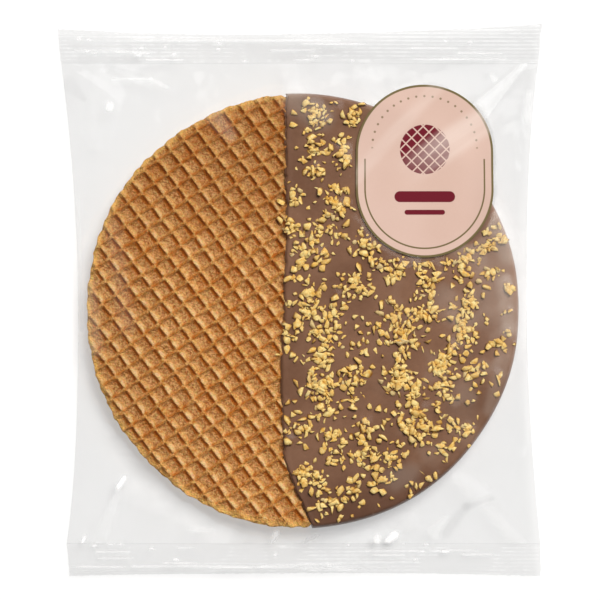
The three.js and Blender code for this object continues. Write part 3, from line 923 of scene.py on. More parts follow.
def pit_form(x, y, seed):
    """Depth, 0 on a ridge to 1 on a pit floor, and the browning with painted light: above 0
    browned or darkened by painted shade, below 0 paled by a painted highlight. Each ridge has a steep flank
    on one side, darkened by painted shade where it faces away from the lamp, and a wide, bulging, golden one
    on the other, whose lit shoulder gets a painted highlight; the flank that is least deep decides, so the
    corners of a pit are mitred."""
    jitter = 0.17 * ripple(x, y, 1.5, seed + 7)
    wandering_x = x + 0.26 * ripple(x, y, 7.0, seed) + jitter
    wandering_y = y + 0.26 * ripple(x, y, 7.0, seed + 1) - jitter
    u, v = to_grid(wandering_x, wandering_y)
    along = (v - GRID_SHIFT[1]) % 1
    du = ((u - GRID_SHIFT[0] + 0.5) % 1 - 0.5) * GRID_PITCH
    dv = ((v - GRID_SHIFT[1] + 0.5) % 1 - 0.5) * GRID_PITCH
    uneven = ripple(x, y, 3.6, seed + 2)
    crest = 0.13 + 0.06 * uneven
    bulge = np.sin(math.pi * along ** 1.25)
    pressed = 0.75 + 0.4 * smooth(-y - 0.4 * x, -50, 50)
    wide = 0.9 + (0.95 * pressed + 0.3 * ripple(x, y, 5.0, seed + 3)) * bulge
    golden = np.clip((du - crest) / wide, 0, 1) ** 1.7
    steep = 1 - (1 - np.clip((-du - crest * 0.6) / (0.72 + 0.14 * uneven), 0, 1)) ** 1.3
    bridge = crest * 0.5 + 0.32 * smooth(-du, -0.2, 0.3) * smooth(-du, 1.6, 0.9)
    cross = np.clip((np.abs(dv) - bridge) / (0.78 + 0.12 * uneven), 0, 1)
    flank = np.where(du > 0, golden, steep)
    depth = np.clip(np.minimum(flank, cross), 0, 1)
    # painted shade: the steep flank, which faces away from the lamp, is darkened
    painted_flank_shade = smooth(-du, 0.05, 0.25) * smooth(-du, 1.9, 0.9) * smooth(np.abs(dv), 0.4, 0.95)
    corner = smooth(dv, -1.1, -0.5) * smooth(-dv, 0.05, 0.3) * bell(du - 1.4, 1.0)
    patches = smooth(ripple(x, y, 4.4, seed + 8), -0.2, 0.8)
    crests = 0.5 * bell(dv, 0.36) * smooth(np.abs(du), 0.1, 0.6)
    # the y term is painted shade too: browner towards the upper rim
    toast_shade_and_highlight = 0.84 * painted_flank_shade + 0.5 * corner + crests + 0.25 * patches + 0.14 * smooth(y, 5, 60)
    toast_shade_and_highlight = np.clip(toast_shade_and_highlight, 0, 1)
    # painted highlight: the lit shoulder of each bulge is made pale
    ragged = 0.35 * ripple(x, y, 0.9, seed + 9)
    shoulder = bell(du - crest - 0.42 + ragged, 0.7)
    painted_shoulder_highlight = shoulder * smooth(bulge + ragged, 0.25, 0.9) * smooth(uneven, -1.2, 0.3)
    return depth, toast_shade_and_highlight - (1.2 * pressed - 0.2) * painted_shoulder_highlight * (1 - 0.6 * toast_shade_and_highlight)


# %% Points of the pattern


def wafer_height(x, y, seed):
    """Depth below the wafer's crest plane in millimetres, the 0 to 1 depth, and the browning with its
    painted shade and highlight.
    """
    depth, toast_shade_and_highlight = pit_form(x, y, seed)
    uneven = 1 + 0.12 * ripple(x, y, 5.7, seed + 4)
    rim = bell(np.maximum(rim_radius(waffle_angle(x, y)) - from_waffle(x, y), 0), 0.8)
    crumb = 0.09 * ripple(x, y, 0.8, seed + 5) + 0.13 * ripple(x, y, 1.7, seed + 6)
    return PIT_DEPTH * depth * uneven + 0.5 * rim + crumb, depth, toast_shade_and_highlight * (1 - rim)


def wafer_field():
    """Grid points well inside the rim: their X and Y, the quads between them, and the
    numbers of those on the border. A border edge is one that belongs to a single quad."""
    reach = int(WAFFLE_RADIUS / GRID_PITCH) + 2
    cells = np.arange(-reach, reach)[:, None]
    lines_u = (cells + GRID_SHIFT[0] + np.array(SAMPLES_ACROSS)).ravel()
    lines_v = (cells + GRID_SHIFT[1] + np.array(SAMPLES_ALONG)).ravel()
    v, u = np.meshgrid(lines_v, lines_u, indexing="ij")
    x, y = from_grid(u, v)
    inside = from_waffle(x, y) < WAFFLE_RADIUS - 1.3
    keep_quad = inside[:-1, :-1] & inside[1:, :-1] & inside[:-1, 1:] & inside[1:, 1:]
    quads = grid_quads(*x.shape)[keep_quad.ravel()]
    used = np.unique(quads)
    renumber = np.full(x.size, -1)
    renumber[used] = np.arange(len(used))
    quads = renumber[quads][:, ::-1]
    edges = np.sort(quads[:, [[0, 1], [1, 2], [2, 3], [3, 0]]].reshape(-1, 2), axis=1)
    single, times = np.unique(edges, axis=0, return_counts=True)
    return x.ravel()[used], y.ravel()[used], quads, np.unique(single[times == 1])


field_x, field_y, field_quads, field_border = wafer_field()
print("points of the pattern:", len(field_x), "of them on its border:", len(field_border))

# %% The cut rim
RIM_COUNT = 960
rim_angles = -math.pi + 2 * math.pi * (np.arange(RIM_COUNT) + 0.5) / RIM_COUNT


def wafer_rim(angle):
    """The cut rim: the slow waves of the waffle, small lumps and fine crumbs."""
    lumps = 0.28 * np.sin(angle * 83 + 2 * np.sin(angle * 5)) + 0.22 * np.sin(angle * 29 + 1)
    ring_x, ring_y = round_waffle(WAFFLE_RADIUS, angle)
    coated = smooth(ring_x - chocolate_edge_x(ring_y), -1.5, 0.5)
    return rim_radius(angle) + 0.6 * lumps + 0.16 * ripple(ring_x, ring_y, 0.8, 91) - 1.0 * coated


def sewn_strip(inner, outer, inner_angles, outer_angles):
    """Triangles between two loops that both run once round the middle: all points are
    sorted by angle, and each joins the latest points of both loops."""
    angles = np.concatenate([inner_angles, outer_angles])
    from_inner = np.concatenate([np.ones(len(inner), bool), np.zeros(len(outer), bool)])
    labels = np.concatenate([inner, outer])
    order = np.argsort(angles, kind="stable")
    labels, from_inner = labels[order], from_inner[order]
    place = np.arange(len(labels))
    last_inner = np.maximum.accumulate(np.where(from_inner, place, -1))
    last_outer = np.maximum.accumulate(np.where(from_inner, -1, place))
    last_inner = np.where(last_inner < 0, last_inner[-1], last_inner)
    last_outer = np.where(last_outer < 0, last_outer[-1], last_outer)
    return np.stack([labels[np.roll(last_inner, 1)], labels[np.roll(last_outer, 1)], labels], axis=1)


radii = wafer_rim(rim_angles)
print("radius of the wafers:", round(radii.min(), 1), "to", round(radii.max(), 1), "mm")

# %% Build both wafers
# each ring of the rim: how far it is drawn in, and its drop below the crests, where the
# first ring still follows the pattern
WAFER_RINGS = ((0.8, None), (0.14, 0.55), (0.0, 1.3), (0.1, WAFER_THICKNESS - 0.5),
               (0.5, WAFER_THICKNESS))


def build_wafer(name, crest_z, facing, seed):
    """One wafer: its patterned face at crest_z, facing up (+1) or down (-1), a strip sewn to
    the rings of its rim, and a flat face towards the syrup."""
    near_rim = bell(rim_radius(waffle_angle(field_x, field_y)) - from_waffle(field_x, field_y), 1.7)
    blocks = [(field_x, field_y, *wafer_height(field_x, field_y, seed), near_rim)]
    for drawn_in, level in WAFER_RINGS:
        x, y = round_waffle(radii - drawn_in, rim_angles)
        drop, depth, toast_shade_and_highlight = wafer_height(x, y, seed)
        if level is not None:
            drop = np.maximum(level, drop * 0.6 + level * 0.4 + 0.15)
            depth = 0.3 * depth
        blocks.append((x, y, drop, depth, toast_shade_and_highlight, np.ones(RIM_COUNT)))
    blocks.append(([WAFFLE_CENTRE[0]], [WAFFLE_CENTRE[1]], [WAFER_THICKNESS], [0.0], [0.0], [0.0]))
    x, y, drop, depth, toast_and_painted_light, cut = (np.concatenate(column) for column in zip(*blocks))
    points = np.stack([x, y, crest_z - facing * drop], axis=1)

    first_ring = len(field_x)
    last_ring = first_ring + (len(WAFER_RINGS) - 1) * RIM_COUNT
    border_angles = waffle_angle(field_x[field_border], field_y[field_border])
    strip = sewn_strip(field_border, first_ring + np.arange(RIM_COUNT), border_angles, rim_angles)
    walls = ring_quads(len(WAFER_RINGS), RIM_COUNT, first_ring)
    base = ring_fan(last_ring, RIM_COUNT, len(points) - 1, False)
    faces = [field_quads, strip, walls[:, ::-1], base]
    piece = make_piece(name, points, faces if facing > 0 else flipped(faces), wafer_material)
    for attribute, values in (("depth", depth), ("toast_and_painted_light", toast_and_painted_light), ("cut", cut)):
        store(piece, attribute, values)


build_wafer("wafer_top", WAFFLE_TOP, 1, 200)
build_wafer("wafer_bottom", WAFFLE_BASE, -1, 300)

# %% [markdown]
# ## The syrup
# Between the wafers lies a layer of caramel syrup. It stops just short of the rim and
# bulges out unevenly, so only a dark seam shows from the side. A few rings, lathed round
# the middle with a wavy radius, make it.

# %% Syrup seam
SYRUP_BROWNS = (colour(150, 84, 30), colour(104, 50, 14))
# each ring: how far it is drawn in from the rim, and its height
SYRUP_RINGS = ((1.6, 3.95), (0.75, 4.05), (0.5, 4.55), (0.55, 5.25), (0.8, 5.72), (1.7, 5.8))
SYRUP_COUNT = 480


def syrup_finish():
    """Dark, glossy caramel with a slow mottle."""
    material, tree = new_material("caramel_syrup")
    base, height = grain(tree, object_place(tree), *SYRUP_BROWNS, 900.0, 90.0, 0.4)
    finish_surface(tree, base, 0.2, height, 0.2, 0.0002, IOR=1.48)
    return material


def build_syrup():
    """Closed lathe: each ring is drawn in from the rim by its own distance and a ripple."""
    angle = 2 * math.pi * np.arange(SYRUP_COUNT) / SYRUP_COUNT
    ooze = 0.35 * ripple(60 * np.cos(angle), 60 * np.sin(angle), 4.0, 51)
    rings = []
    for drawn_in, z in SYRUP_RINGS:
        x, y = round_waffle(rim_radius(angle) - drawn_in + ooze, angle)
        rings.append(np.stack([x, y, np.full(SYRUP_COUNT, z)], axis=1))
    middles = [(*WAFFLE_CENTRE, SYRUP_RINGS[k][1]) for k in (0, -1)]
    points = np.concatenate([*rings, middles])
    last_ring = (len(SYRUP_RINGS) - 1) * SYRUP_COUNT
    bottom = ring_fan(0, SYRUP_COUNT, len(points) - 2, False)
    top = ring_fan(last_ring, SYRUP_COUNT, len(points) - 1, True)
    faces = [ring_quads(len(SYRUP_RINGS), SYRUP_COUNT), np.concatenate([bottom, top])]
    make_piece("syrup", points, faces, syrup_finish())


build_syrup()

# %% [markdown]
# ## The chocolate coat
# The coat is one sheet wrapped round the rim like a shell: over the top, round the side
# and back along the underside. A grid of points is spread between the coat's edge and the
# rim; heights near the rim follow a superellipse, so the side is round. A second sheet a
# little further in closes it to a shell of even thickness.

# %% Chocolate material
CHOCOLATE_BROWNS = (colour(140, 103, 80), colour(115, 80, 59))
CHOCOLATE_LIT = colour(192, 160, 141)
CHOCOLATE_SHADED = colour(86, 56, 42)
CHOCOLATE_BLOOM = colour(168, 138, 118)


def chocolate_finish():
    """Satin brown, paler at the right rim by a painted sheen and darker at the lower one by
    painted shade, with a few dull spots of bloom where a rough noise peaks."""
    material, tree = new_material("milk_chocolate")
    place = object_place(tree)
    x, y, _ = axes_of(tree, place)
    base, fine = grain(tree, place, *CHOCOLATE_BROWNS, 600.0, 60.0, 0.2)
    # painted sheen towards the right rim
    to_right = calc(tree, "MULTIPLY", band(tree, x, 0.045, 0.078, 0.42), band(tree, y, -0.040, 0.004))
    base = mix_colour(tree, to_right, base, CHOCOLATE_LIT)
    # painted shade towards the lower rim
    base = mix_colour(tree, band(tree, y, -0.045, -0.080, 0.6), base, CHOCOLATE_SHADED)
    scuffs = noise(tree, place, 260.0, 4.0, 0.7)[0]
    base = mix_colour(tree, band(tree, scuffs, 0.66, 0.78, 0.35), base, CHOCOLATE_BLOOM)
    finish_surface(tree, base, 0.36, fine, 0.12, 0.0002, IOR=1.46)
    return material


chocolate_material = chocolate_finish()

# %% Plan of the coat
COAT_ROWS = 230
COAT_TOP_COLUMNS = 66
COAT_BEVEL = 1.9
COAT_THICKNESS = 0.85


def coat_corner(direction):
    """Y at which the coat's edge meets the rim, upper (+1) or lower (-1): the first of a
    fine row of places along the edge that lies past the rim."""
    ys = WAFFLE_CENTRE[1] + direction * np.linspace(60, 80, 4001)
    xs = chocolate_edge_x(ys)
    radius = rim_radius(waffle_angle(xs, ys)) + CHOCOLATE_OVERHANG
    return ys[np.argmax(from_waffle(xs, ys) > radius - 0.2)]


def edge_waves(y):
    """Small waves and crumbs of the coat's edge, along X."""
    return 0.45 * ripple(y, y * 0, 3.8, 61) + 0.3 * ripple(y, y * 0, 1.2, 63)


def coat_plan(row_share, column_share, drawn_in):
    """Points in plan: row_share runs up the edge and the rim, column_share from the coat's
    edge, 0, to the rim, 1."""
    low, high = coat_corner(-1), coat_corner(1)
    start, end = (waffle_angle(chocolate_edge_x(y), y) for y in (low, high))
    angle = lerp(start, end, row_share)
    edge_y = lerp(low, high, row_share)
    edge_x = chocolate_edge_x(edge_y) + edge_waves(edge_y)
    rim_x, rim_y = round_waffle(rim_radius(angle) + CHOCOLATE_OVERHANG - drawn_in, angle)
    return lerp(edge_x, rim_x, column_share), lerp(edge_y, rim_y, column_share)


def coat_side(x, y, drawn_in, half_height):
    """Drop from the top towards the middle of the side: a quarter of a superellipse in the
    distance from the rim."""
    inward = rim_radius(waffle_angle(x, y)) + CHOCOLATE_OVERHANG - drawn_in - from_waffle(x, y)
    share = 1 - np.clip(inward / COAT_BEVEL, 0, 1)
    return half_height * (1 - (1 - share ** 2.2) ** (1 / 2.2))


print("the coat's edge runs from y =", round(coat_corner(-1), 1), "to", round(coat_corner(1), 1), "mm")

# %% Chocolate shell


def build_chocolate():
    """The shell: an outer sheet and, drawn in by its thickness, an inner one. Columns run
    from the edge over the top to the rim and back along the underside."""
    columns = eased(COAT_TOP_COLUMNS, 0.85)
    shares = np.concatenate([columns, columns[-2::-1]])
    over = np.arange(len(shares)) < COAT_TOP_COLUMNS
    row_share, column_share = np.meshgrid(eased(COAT_ROWS, 0.3), shares, indexing="ij")

    def sheet(thickness):
        """Points of the outer sheet (thickness 0) or of the inner one. Only the outer one
        thins out towards the coat's edge."""
        x, y = coat_plan(row_share, column_share, thickness)
        drop = coat_side(x, y, thickness, (CHOCOLATE_TOP - CHOCOLATE_BASE) / 2 - thickness)
        thinning = 1 - smooth(x - chocolate_edge_x(y) - edge_waves(y), -0.1, 0.75)
        if thickness > 0:
            thinning = 0.0
        top = coat_height(x, y) - thickness - drop - 2.2 * thinning
        bottom = CHOCOLATE_BASE + 0.05 * (1 + ripple(x, y, 6.0, 62)) + thickness + drop
        return np.stack([x, y, np.where(over, top, bottom + 1.2 * thinning)], axis=2)

    points, faces = pillow(sheet(0.0), sheet(COAT_THICKNESS))
    make_piece("chocolate", points, flipped(faces), chocolate_material)


build_chocolate()

# %% [markdown]
# ## The nuts as one piece
# All chips share one mesh, as they were strewn in one go. Each vertex carries its chip's
# random `tone`, so that the material can make some chips paler and some more roasted, and
# its `rise` above the coat, so that the foot of a chip can get a painted shade darker than its tip.

# %% Nut material and piece
NUT_YELLOWS = (colour(255, 236, 164), colour(236, 178, 72))
NUT_PAINTED_FOOT_SHADE = colour(128, 76, 12)
NUT_PAINTED_SIDE_SHADE = colour(150, 92, 20)
NUT_ROASTED = colour(206, 150, 68)
NUT_PALE = colour(220, 194, 140)


def nut_finish():
    """Grainy yellow with painted shade at the foot and on steep sides, then roasted or paler by tone."""
    material, tree = new_material("chopped_nuts")
    base, height = grain(tree, object_place(tree), *NUT_YELLOWS, 800.0, 300.0, 0.7)
    # painted shade: the foot of each chip and its steep sides are darkened
    base = mix_colour(tree, band(tree, stored(tree, "rise"), 0.6, 0.05), base, NUT_PAINTED_FOOT_SHADE)
    upward = axes_of(tree, add_node(tree, "ShaderNodeNewGeometry").outputs["Normal"])[2]
    base = mix_colour(tree, band(tree, upward, 0.85, 0.15, 0.75), base, NUT_PAINTED_SIDE_SHADE)
    tone = stored(tree, "tone")
    base = mix_colour(tree, band(tree, tone, 0.6, 1.4), base, NUT_ROASTED)
    base = mix_colour(tree, band(tree, tone, 0.05, 0.0), base, NUT_PALE)
    finish_surface(tree, base, 0.45, height, 0.35, 0.0002, IOR=1.47)
    return material


nuts = make_piece("nuts", nut_points, [nut_faces], nut_finish(), shade_smooth=False)
store(nuts, "tone", nut_tones)
store(nuts, "rise", nut_rises)

# %% [markdown]
# ## Clear film
# Thin film lets almost all light through and mirrors a little, more at a glancing angle.
# A transparent shader mixed with a mirror by a Fresnel term says just that, without the
# cost of real refraction. The facing value is raised to the fifth power (Schlick's rule).
# The film and its seals are wrinkled alike, so the wrinkles are a node group for both.

# %% The wrinkle group


def build_wrinkles():
    """Group: the height of fine wrinkles in thin film, from a soft noise."""
    inputs = {"Vector": "Vector", "Scale": "Float"}
    group, source, sink = new_group("wrinkles", inputs, {"Height": "Float"})
    group.links.new(noise(group, source["Vector"], source["Scale"])[0], sink["Height"])
    return group


wrinkle_group = build_wrinkles()
print("wrinkle group:", len(wrinkle_group.nodes), "nodes")

# %% Film material
FILM_TINT = (0.943, 0.943, 0.942, 1)
SEAL_TINT = (0.932, 0.932, 0.931, 1)
FOLD_PAINTED_SHADE = (0.55, 0.55, 0.55, 1)
MIRROR_COLOUR = (0.95, 0.95, 0.95, 1)
# colours of the painted highlight over the table and over the food
VEIL_OVER_TABLE = (0.95, 0.95, 0.95, 1)
VEIL_OVER_FOOD = (0.95, 0.85, 0.74, 1)
MIRROR_STRENGTH = 1.2
WRINKLE_DEPTH = 0.0012


def film_finish(name, tint, wrinkle_scale):
    """See-through film mixed with a mirror by Schlick's rule. Where `glint` is above 0 a
    pale veil of painted highlight covers both, and where it is below 0 the see-through part turns grey with
    painted shade."""
    material, tree = new_material(name)
    place = object_place(tree)
    wrinkles = add_node(tree, "ShaderNodeGroup", {"node_tree": wrinkle_group}, Vector=place,
                        Scale=wrinkle_scale).outputs["Height"]
    bump = add_node(tree, "ShaderNodeBump", None, Height=wrinkles, Strength=0.5,
                    Distance=WRINKLE_DEPTH).outputs[0]
    facing = add_node(tree, "ShaderNodeLayerWeight", None, Blend=0.5, Normal=bump).outputs["Facing"]
    schlick = calc(tree, "MULTIPLY_ADD", calc(tree, "POWER", facing, 5.0), 0.9, 0.03)
    share = calc(tree, "MULTIPLY", schlick, MIRROR_STRENGTH, clamp=True)
    glint = stored(tree, "glint")
    veil_share, grey_share = (calc(tree, "MULTIPLY", glint, sign, clamp=True) for sign in (1.0, -1.0))
    clear_colour = mix_colour(tree, grey_share, tint, FOLD_PAINTED_SHADE)
    clear = add_node(tree, "ShaderNodeBsdfTransparent", None, Color=clear_colour).outputs[0]
    mirror = add_node(tree, "ShaderNodeBsdfPrincipled", None, Base_Color=MIRROR_COLOUR,
                      Metallic=1.0, Roughness=0.09, Normal=bump).outputs[0]
    # the veil is a painted highlight, lit as if it nearly faced the lamp, and takes on a warm tone over the
    # food
    to_lamp = add_node(tree, "ShaderNodeCombineXYZ", None, X=0.27, Y=0.42, Z=0.87).outputs[0]
    food_middle = (WAFFLE_CENTRE[0] * MM, WAFFLE_CENTRE[1] * MM, WAFFLE_TOP * MM)
    over_food = band(tree, vector_calc(tree, "DISTANCE", place, food_middle), 0.077, 0.074)
    veil_colour = mix_colour(tree, over_food, VEIL_OVER_TABLE, VEIL_OVER_FOOD)
    veil = add_node(tree, "ShaderNodeBsdfDiffuse", None, Color=veil_colour, Normal=to_lamp).outputs[0]
    both = add_node(tree, "ShaderNodeMixShader", None, i0=share, i1=clear, i2=mirror).outputs[0]
    veiled = add_node(tree, "ShaderNodeMixShader", None, i0=veil_share, i1=both, i2=veil).outputs[0]
    add_node(tree, "ShaderNodeOutputMaterial", None, Surface=veiled)
    return material


film_material = film_finish("clear_film", FILM_TINT, 90.0)
seal_material = film_finish("sealed_film", SEAL_TINT, 140.0)

# %% [markdown]
# ## Light painted onto the film
# Creases and facets of the film get painted light: pale streaks and small sparkles as
# painted highlights, and a few darker folds as painted shade. Each is a capsule that may widen from one end
# to the other. Their sum is stored per vertex as `glint`: above 0 a white veil of painted highlight, below 0
# a grey painted shade.

# %% Glints
SEAL_LINES = 16
SEAL_SPARKS = 15
FAINT_GLINT = 0.24
# painted light on the film: painted highlights where the strength is above 0, painted shade where it is
# below
FILM_GLINTS = (
    # start x, y, end x, y, half width at start, at end, strength
    # upper right corner: a fan that widens inwards, a fold beside it, one spark
    (81, 85, 63, 66, 0.3, 3.3, 0.26), (80, 72, 79, 63, 0.9, 1, 0.22), (67, 78, 68, 77, 0.8, 1, 0.25),
    # upper edge: two soft patches
    (-3, 80, -2, 74, 2.2, 2.4, 0.09), (24, 78, 26, 70, 3, 3, 0.07),
    # upper left corner: a bright line with a darker fold above it, one spark, a soft patch
    (-65, 77, -52, 77, 0.4, 0.4, 0.22), (-52, 77, -46, 74, 0.5, 0.4, 0.22),
    (-67, 81, -55, 78, 1.2, 0.4, -0.12), (-66, 68, -66, 67, 1.2, 1.2, 0.3),
    (-68, 78, -71, 56, 3, 2.5, 0.08), (-80, 75, -75, 70, 2, 0.7, -0.14),
    # lower left corner: a spark, the streak that runs down from it, and two more at its foot
    (-61, -62, -63, -65, 0.6, 0.6, 0.75), (-63, -67, -70, -84, 0.8, 1.9, 0.16),
    (-75, -83, -76, -85, 0.3, 0.3, 0.8), (-60, -66, -48, -71, 3, 3.5, 0.05),
    # lower edge: sparks where the film is drawn into the seal
    (-38, -80, -30, -80, 0.5, 0.5, 0.18), (-8, -81, -10, -85, 0.8, 0.3, 0.55),
    (-20, -81, -18, -84, 2, 2.4, -0.12), (27, -83, 27, -85, 1, 1, 0.9),
    (33, -82, 31, -84, 1.2, 0.9, 0.9), (2, -84, 6, -82, 0.5, 0.3, 0.45),
    # lower right corner: pale streaks with dark folds between them
    (55, -61, 63, -68, 1.6, 2.6, 0.12), (65, -72, 77, -85, 1, 1.7, 0.1), (67, -69, 58, -72, 0.6, 1, -0.2),
    (58, -72, 51, -81, 1.1, 1.4, -0.16), (51, -76, 47, -81, 0.7, 1.7, 0.22), (39, -76, 33, -82, 2, 1, 0.12),
    # a pale haze over the waffle near its rim: left, upper, right
    (-65, 26, -60, -9, 2, 2.3, 0.03), (-73, 5, -71, -17, 1.7, 1.9, 0.06), (-30, 65, -24, 57, 2.4, 1.4, 0.08),
    (-1, 70, 7, 64, 3.6, 3.4, 0.1), (66, 31, 73, 16, 3, 2.6, 0.16), (57, 19, 70, 7, 4, 4, 0.05),
    (63, 1, 74, -11, 3, 2.6, 0.05), (71, 6, 73, -9, 2, 2, 0.11), (71, -19, 66, -38, 2.2, 1.6, 0.07),
    (50, -1, 57, -8, 3.6, 3, 0.05), (55, -31, 58, -46, 4.5, 4, 0.03), (33, -62, 39, -59, 3, 2, 0.05),
    # along the side folds
    (78, 5, 79, -14, 1.7, 1.7, 0.1), (80, -23, 80, -49, 1, 1, 0.07), (-77, 35, -76, -10, 0.5, 0.5, 0.1),
)


# %% Rule for the seals, and the sum of all glints


def seal_glints(near_y, far_y, seed):
    """Painted glints of one seal by a seeded rule: thin lines along the ribs and short sparks,
    both more crowded to the left, and one long line near the cut edge."""
    rng = np.random.default_rng(seed)
    capsules = [(-58, lerp(near_y, far_y, 0.9), 14, lerp(near_y, far_y, 0.8), 0.35, 0.3, 0.3)]
    for _ in range(SEAL_LINES):
        x = lerp(-79, 60, rng.uniform() ** 1.5)
        y = lerp(near_y, far_y, rng.uniform())
        length = rng.uniform(5, 22)
        capsules.append((x, y, x + length, y, 0.3, 0.2, rng.uniform(0.12, 0.42)))
    for _ in range(SEAL_SPARKS):
        x = lerp(-78, 76, rng.uniform() ** 1.3)
        y = lerp(near_y, far_y, rng.uniform() ** 2)
        size = rng.uniform(0.2, 0.45)
        capsules.append((x, y, x + 0.8, y, size, size, rng.uniform(0.4, 0.8)))
    return capsules


def glints(x, y, capsules, softness):
    """Sum of all capsules: each is full strength within its half width of its middle line
    and fades out over the softness, or over its whole width where it is faint."""
    total = np.zeros(x.shape)
    for x0, y0, x1, y1, start_width, end_width, strength in capsules:
        length = math.hypot(x1 - x0, y1 - y0)
        along = np.clip(((x - x0) * (x1 - x0) + (y - y0) * (y1 - y0)) / length ** 2, 0, 1)
        away = np.hypot(x - x0 - along * (x1 - x0), y - y0 - along * (y1 - y0))
        width = lerp(start_width, end_width, along)
        fade = np.maximum(softness, width * (1.3 if abs(strength) < FAINT_GLINT else 0.0))
        total += strength * (1 - smooth(away, width - fade / 2, width + fade))
    return np.clip(total, -1, 1)


upper_seal_glints = seal_glints(near_y=83.5, far_y=92, seed=31)
lower_seal_glints = seal_glints(near_y=-85, far_y=-94, seed=32)
print("glints of the film:", len(FILM_GLINTS), "and of each seal:", len(upper_seal_glints))


# %% [markdown]
# ## The tube of film
# Upper and lower film are two grids of points that share their outer edge, so the bag's
# tube is one closed piece. The upper one reads its heights from the settled map.

# %% Build the tube
FILM_COLUMNS = 205
FILM_ROWS = 215


def film_glint(x, y):
    """Painted light of the upper film: its glint capsules, painted shade at three places (the
    upper right, a painted shadow off the sticker's right edge, the right fold) and a faint painted haze over
    the coat."""
    painted_shade = -0.08 * smooth(x, 5, 60) * smooth(y, 48, 72)
    painted_shade -= 0.42 * bell(from_label(x, y) - 0.2, 0.9) * smooth(x, 56, 64)
    painted_shade -= 0.05 * smooth(x, 76.5, 79) * smooth(np.abs(y), 66, 50)
    # painted haze over the coat
    haze = 0.045 * smooth(ripple((x + y) * 0.7, (y - x) * 1.1, 5.0, 95), 0.0, 0.8) * smooth(x, 15, 60)
    haze *= smooth(from_waffle(x, y), 75, 73)
    return glints(x, y, FILM_GLINTS, 0.5) + painted_shade + haze


def build_film():
    """The tube: rows of points from one side fold to the other, at the settled height above
    and at the plain lower film below. Both meet at the seam height along the border."""
    share, y = np.meshgrid(eased(FILM_COLUMNS, 0.45), np.linspace(LOWER_SEAL_Y, UPPER_SEAL_Y, FILM_ROWS))
    x = lerp(side_x(LEFT_SIDE, y), side_x(RIGHT_SIDE, y), share)
    lower = film_under(x, y)
    upper = np.maximum(read_map(film_map, x, y), lower + 0.1)
    border = np.zeros(x.shape, bool)
    border[[0, -1], :] = True
    border[:, [0, -1]] = True
    upper, lower = (np.where(border, seam_height(x, y), z) for z in (upper, lower))
    points, faces = pillow(np.stack([x, y, upper], axis=2), np.stack([x, y, lower], axis=2))
    piece = make_piece("film", points, faces, film_material)
    on_top = np.arange(len(points)) < x.size
    store(piece, "glint", film_glint(points[:, 0], points[:, 1]) * on_top)


build_film()

# %% [markdown]
# ## Crimped end seals
# Heated jaws press the two films into one ribbed strip and a knife cuts it off. The ribs
# are a sine along the strip that comes and goes, as the jaws never press quite evenly, and
# the cut edge is a fine zigzag.

# %% Build the seals
SEAL_COLUMNS = 330
SEAL_ROWS = 70
SEAL_OVERLAP = 0.08
SEAL_FILM = 0.12
GLINT_RIB_PITCH = 1.7


def build_seal(name, seal_y, edge_y, direction, capsules, seed):
    """A thin ribbed plate from the seal line to the cut edge, above (+1) or below (-1)."""
    share, along = np.meshgrid(np.linspace(0, 1, SEAL_COLUMNS), np.linspace(0, 1, SEAL_ROWS))
    rough_x = lerp(-80.0, 80.0, share)
    zigzag = 0.18 * np.abs((rough_x / 1.1) % 2 - 1) + 0.12 * ripple(rough_x, rough_x * 0, 1.7, seed)
    cut = edge_y(rough_x) - direction * zigzag
    y = lerp(seal_y - direction * SEAL_OVERLAP, cut, along)
    left = side_x(LEFT_SIDE, y) + 0.25 * ripple(y * 0, y, 1.6, seed + 1)
    right = side_x(RIGHT_SIDE, y) + 0.25 * ripple(y * 0, y, 1.6, seed + 2)
    x = lerp(left, right, share)
    pressed = 0.25 + 0.75 * smooth(ripple(x, y * 2.2, 13.0, seed + 3), -0.3, 0.4)
    in_strip = smooth(direction * (y - seal_y), 0.2, 1.6)
    ribs = CRIMP_HEIGHT / 2 * pressed * in_strip * np.sin(2 * math.pi * y / CRIMP_PITCH)
    curl = 0.35 * ripple(x, y, 15.0, seed + 4) * in_strip
    z = seam_height(x, y) + ribs + curl
    upper = np.stack([x, y, z + SEAL_FILM / 2], axis=2)
    lower = np.stack([x, y, z - SEAL_FILM / 2], axis=2)
    if direction < 0:
        upper, lower = upper[::-1], lower[::-1]
    points, faces = pillow(upper, lower)
    piece = make_piece(name, points, faces, seal_material)
    px, py = points[:, 0], points[:, 1]
    # painted light of the seal: faint painted shade along the seal line, painted highlights along the lit
    # ribs, painted shade on the right of the upper seal, and the glint capsules
    seal_line = -0.05 * bell(py - seal_y + 0.3 * ripple(px, px * 0, 9.0, seed + 5), 0.22)
    seal_line = seal_line * smooth(ripple(px, py * 0, 11.0, seed + 6), -0.6, 0.5)
    lit_ribs = smooth(ripple(px, py * 4.5, 24.0, seed + 7), 0.15, 0.6)
    rib_lines = 0.03 * lit_ribs * np.sin(2 * math.pi * py / GLINT_RIB_PITCH)
    strip = smooth(direction * (py - seal_y), 0.5, 1.5)
    painted_shade = -0.04 * (direction > 0) * smooth(px, -45, 25) * strip
    glint = 0.55 * glints(px, py, capsules, 0.25) + seal_line + rib_lines * strip + painted_shade
    store(piece, "glint", np.clip(glint, -1, 1))


build_seal("seal_upper", UPPER_SEAL_Y, upper_edge_y, 1, upper_seal_glints, 400)
build_seal("seal_lower", LOWER_SEAL_Y, lower_edge_y, -1, lower_seal_glints, 420)

# %% [markdown]
# ## The sticker
# A pill-shaped sticker on the film, with a border, a fine inner line, a burgundy waffle
# emblem, two bars and an arc of dots. All print is drawn by the material from two values
# stored in the mesh: how far each point lies inside the outline, and its place.

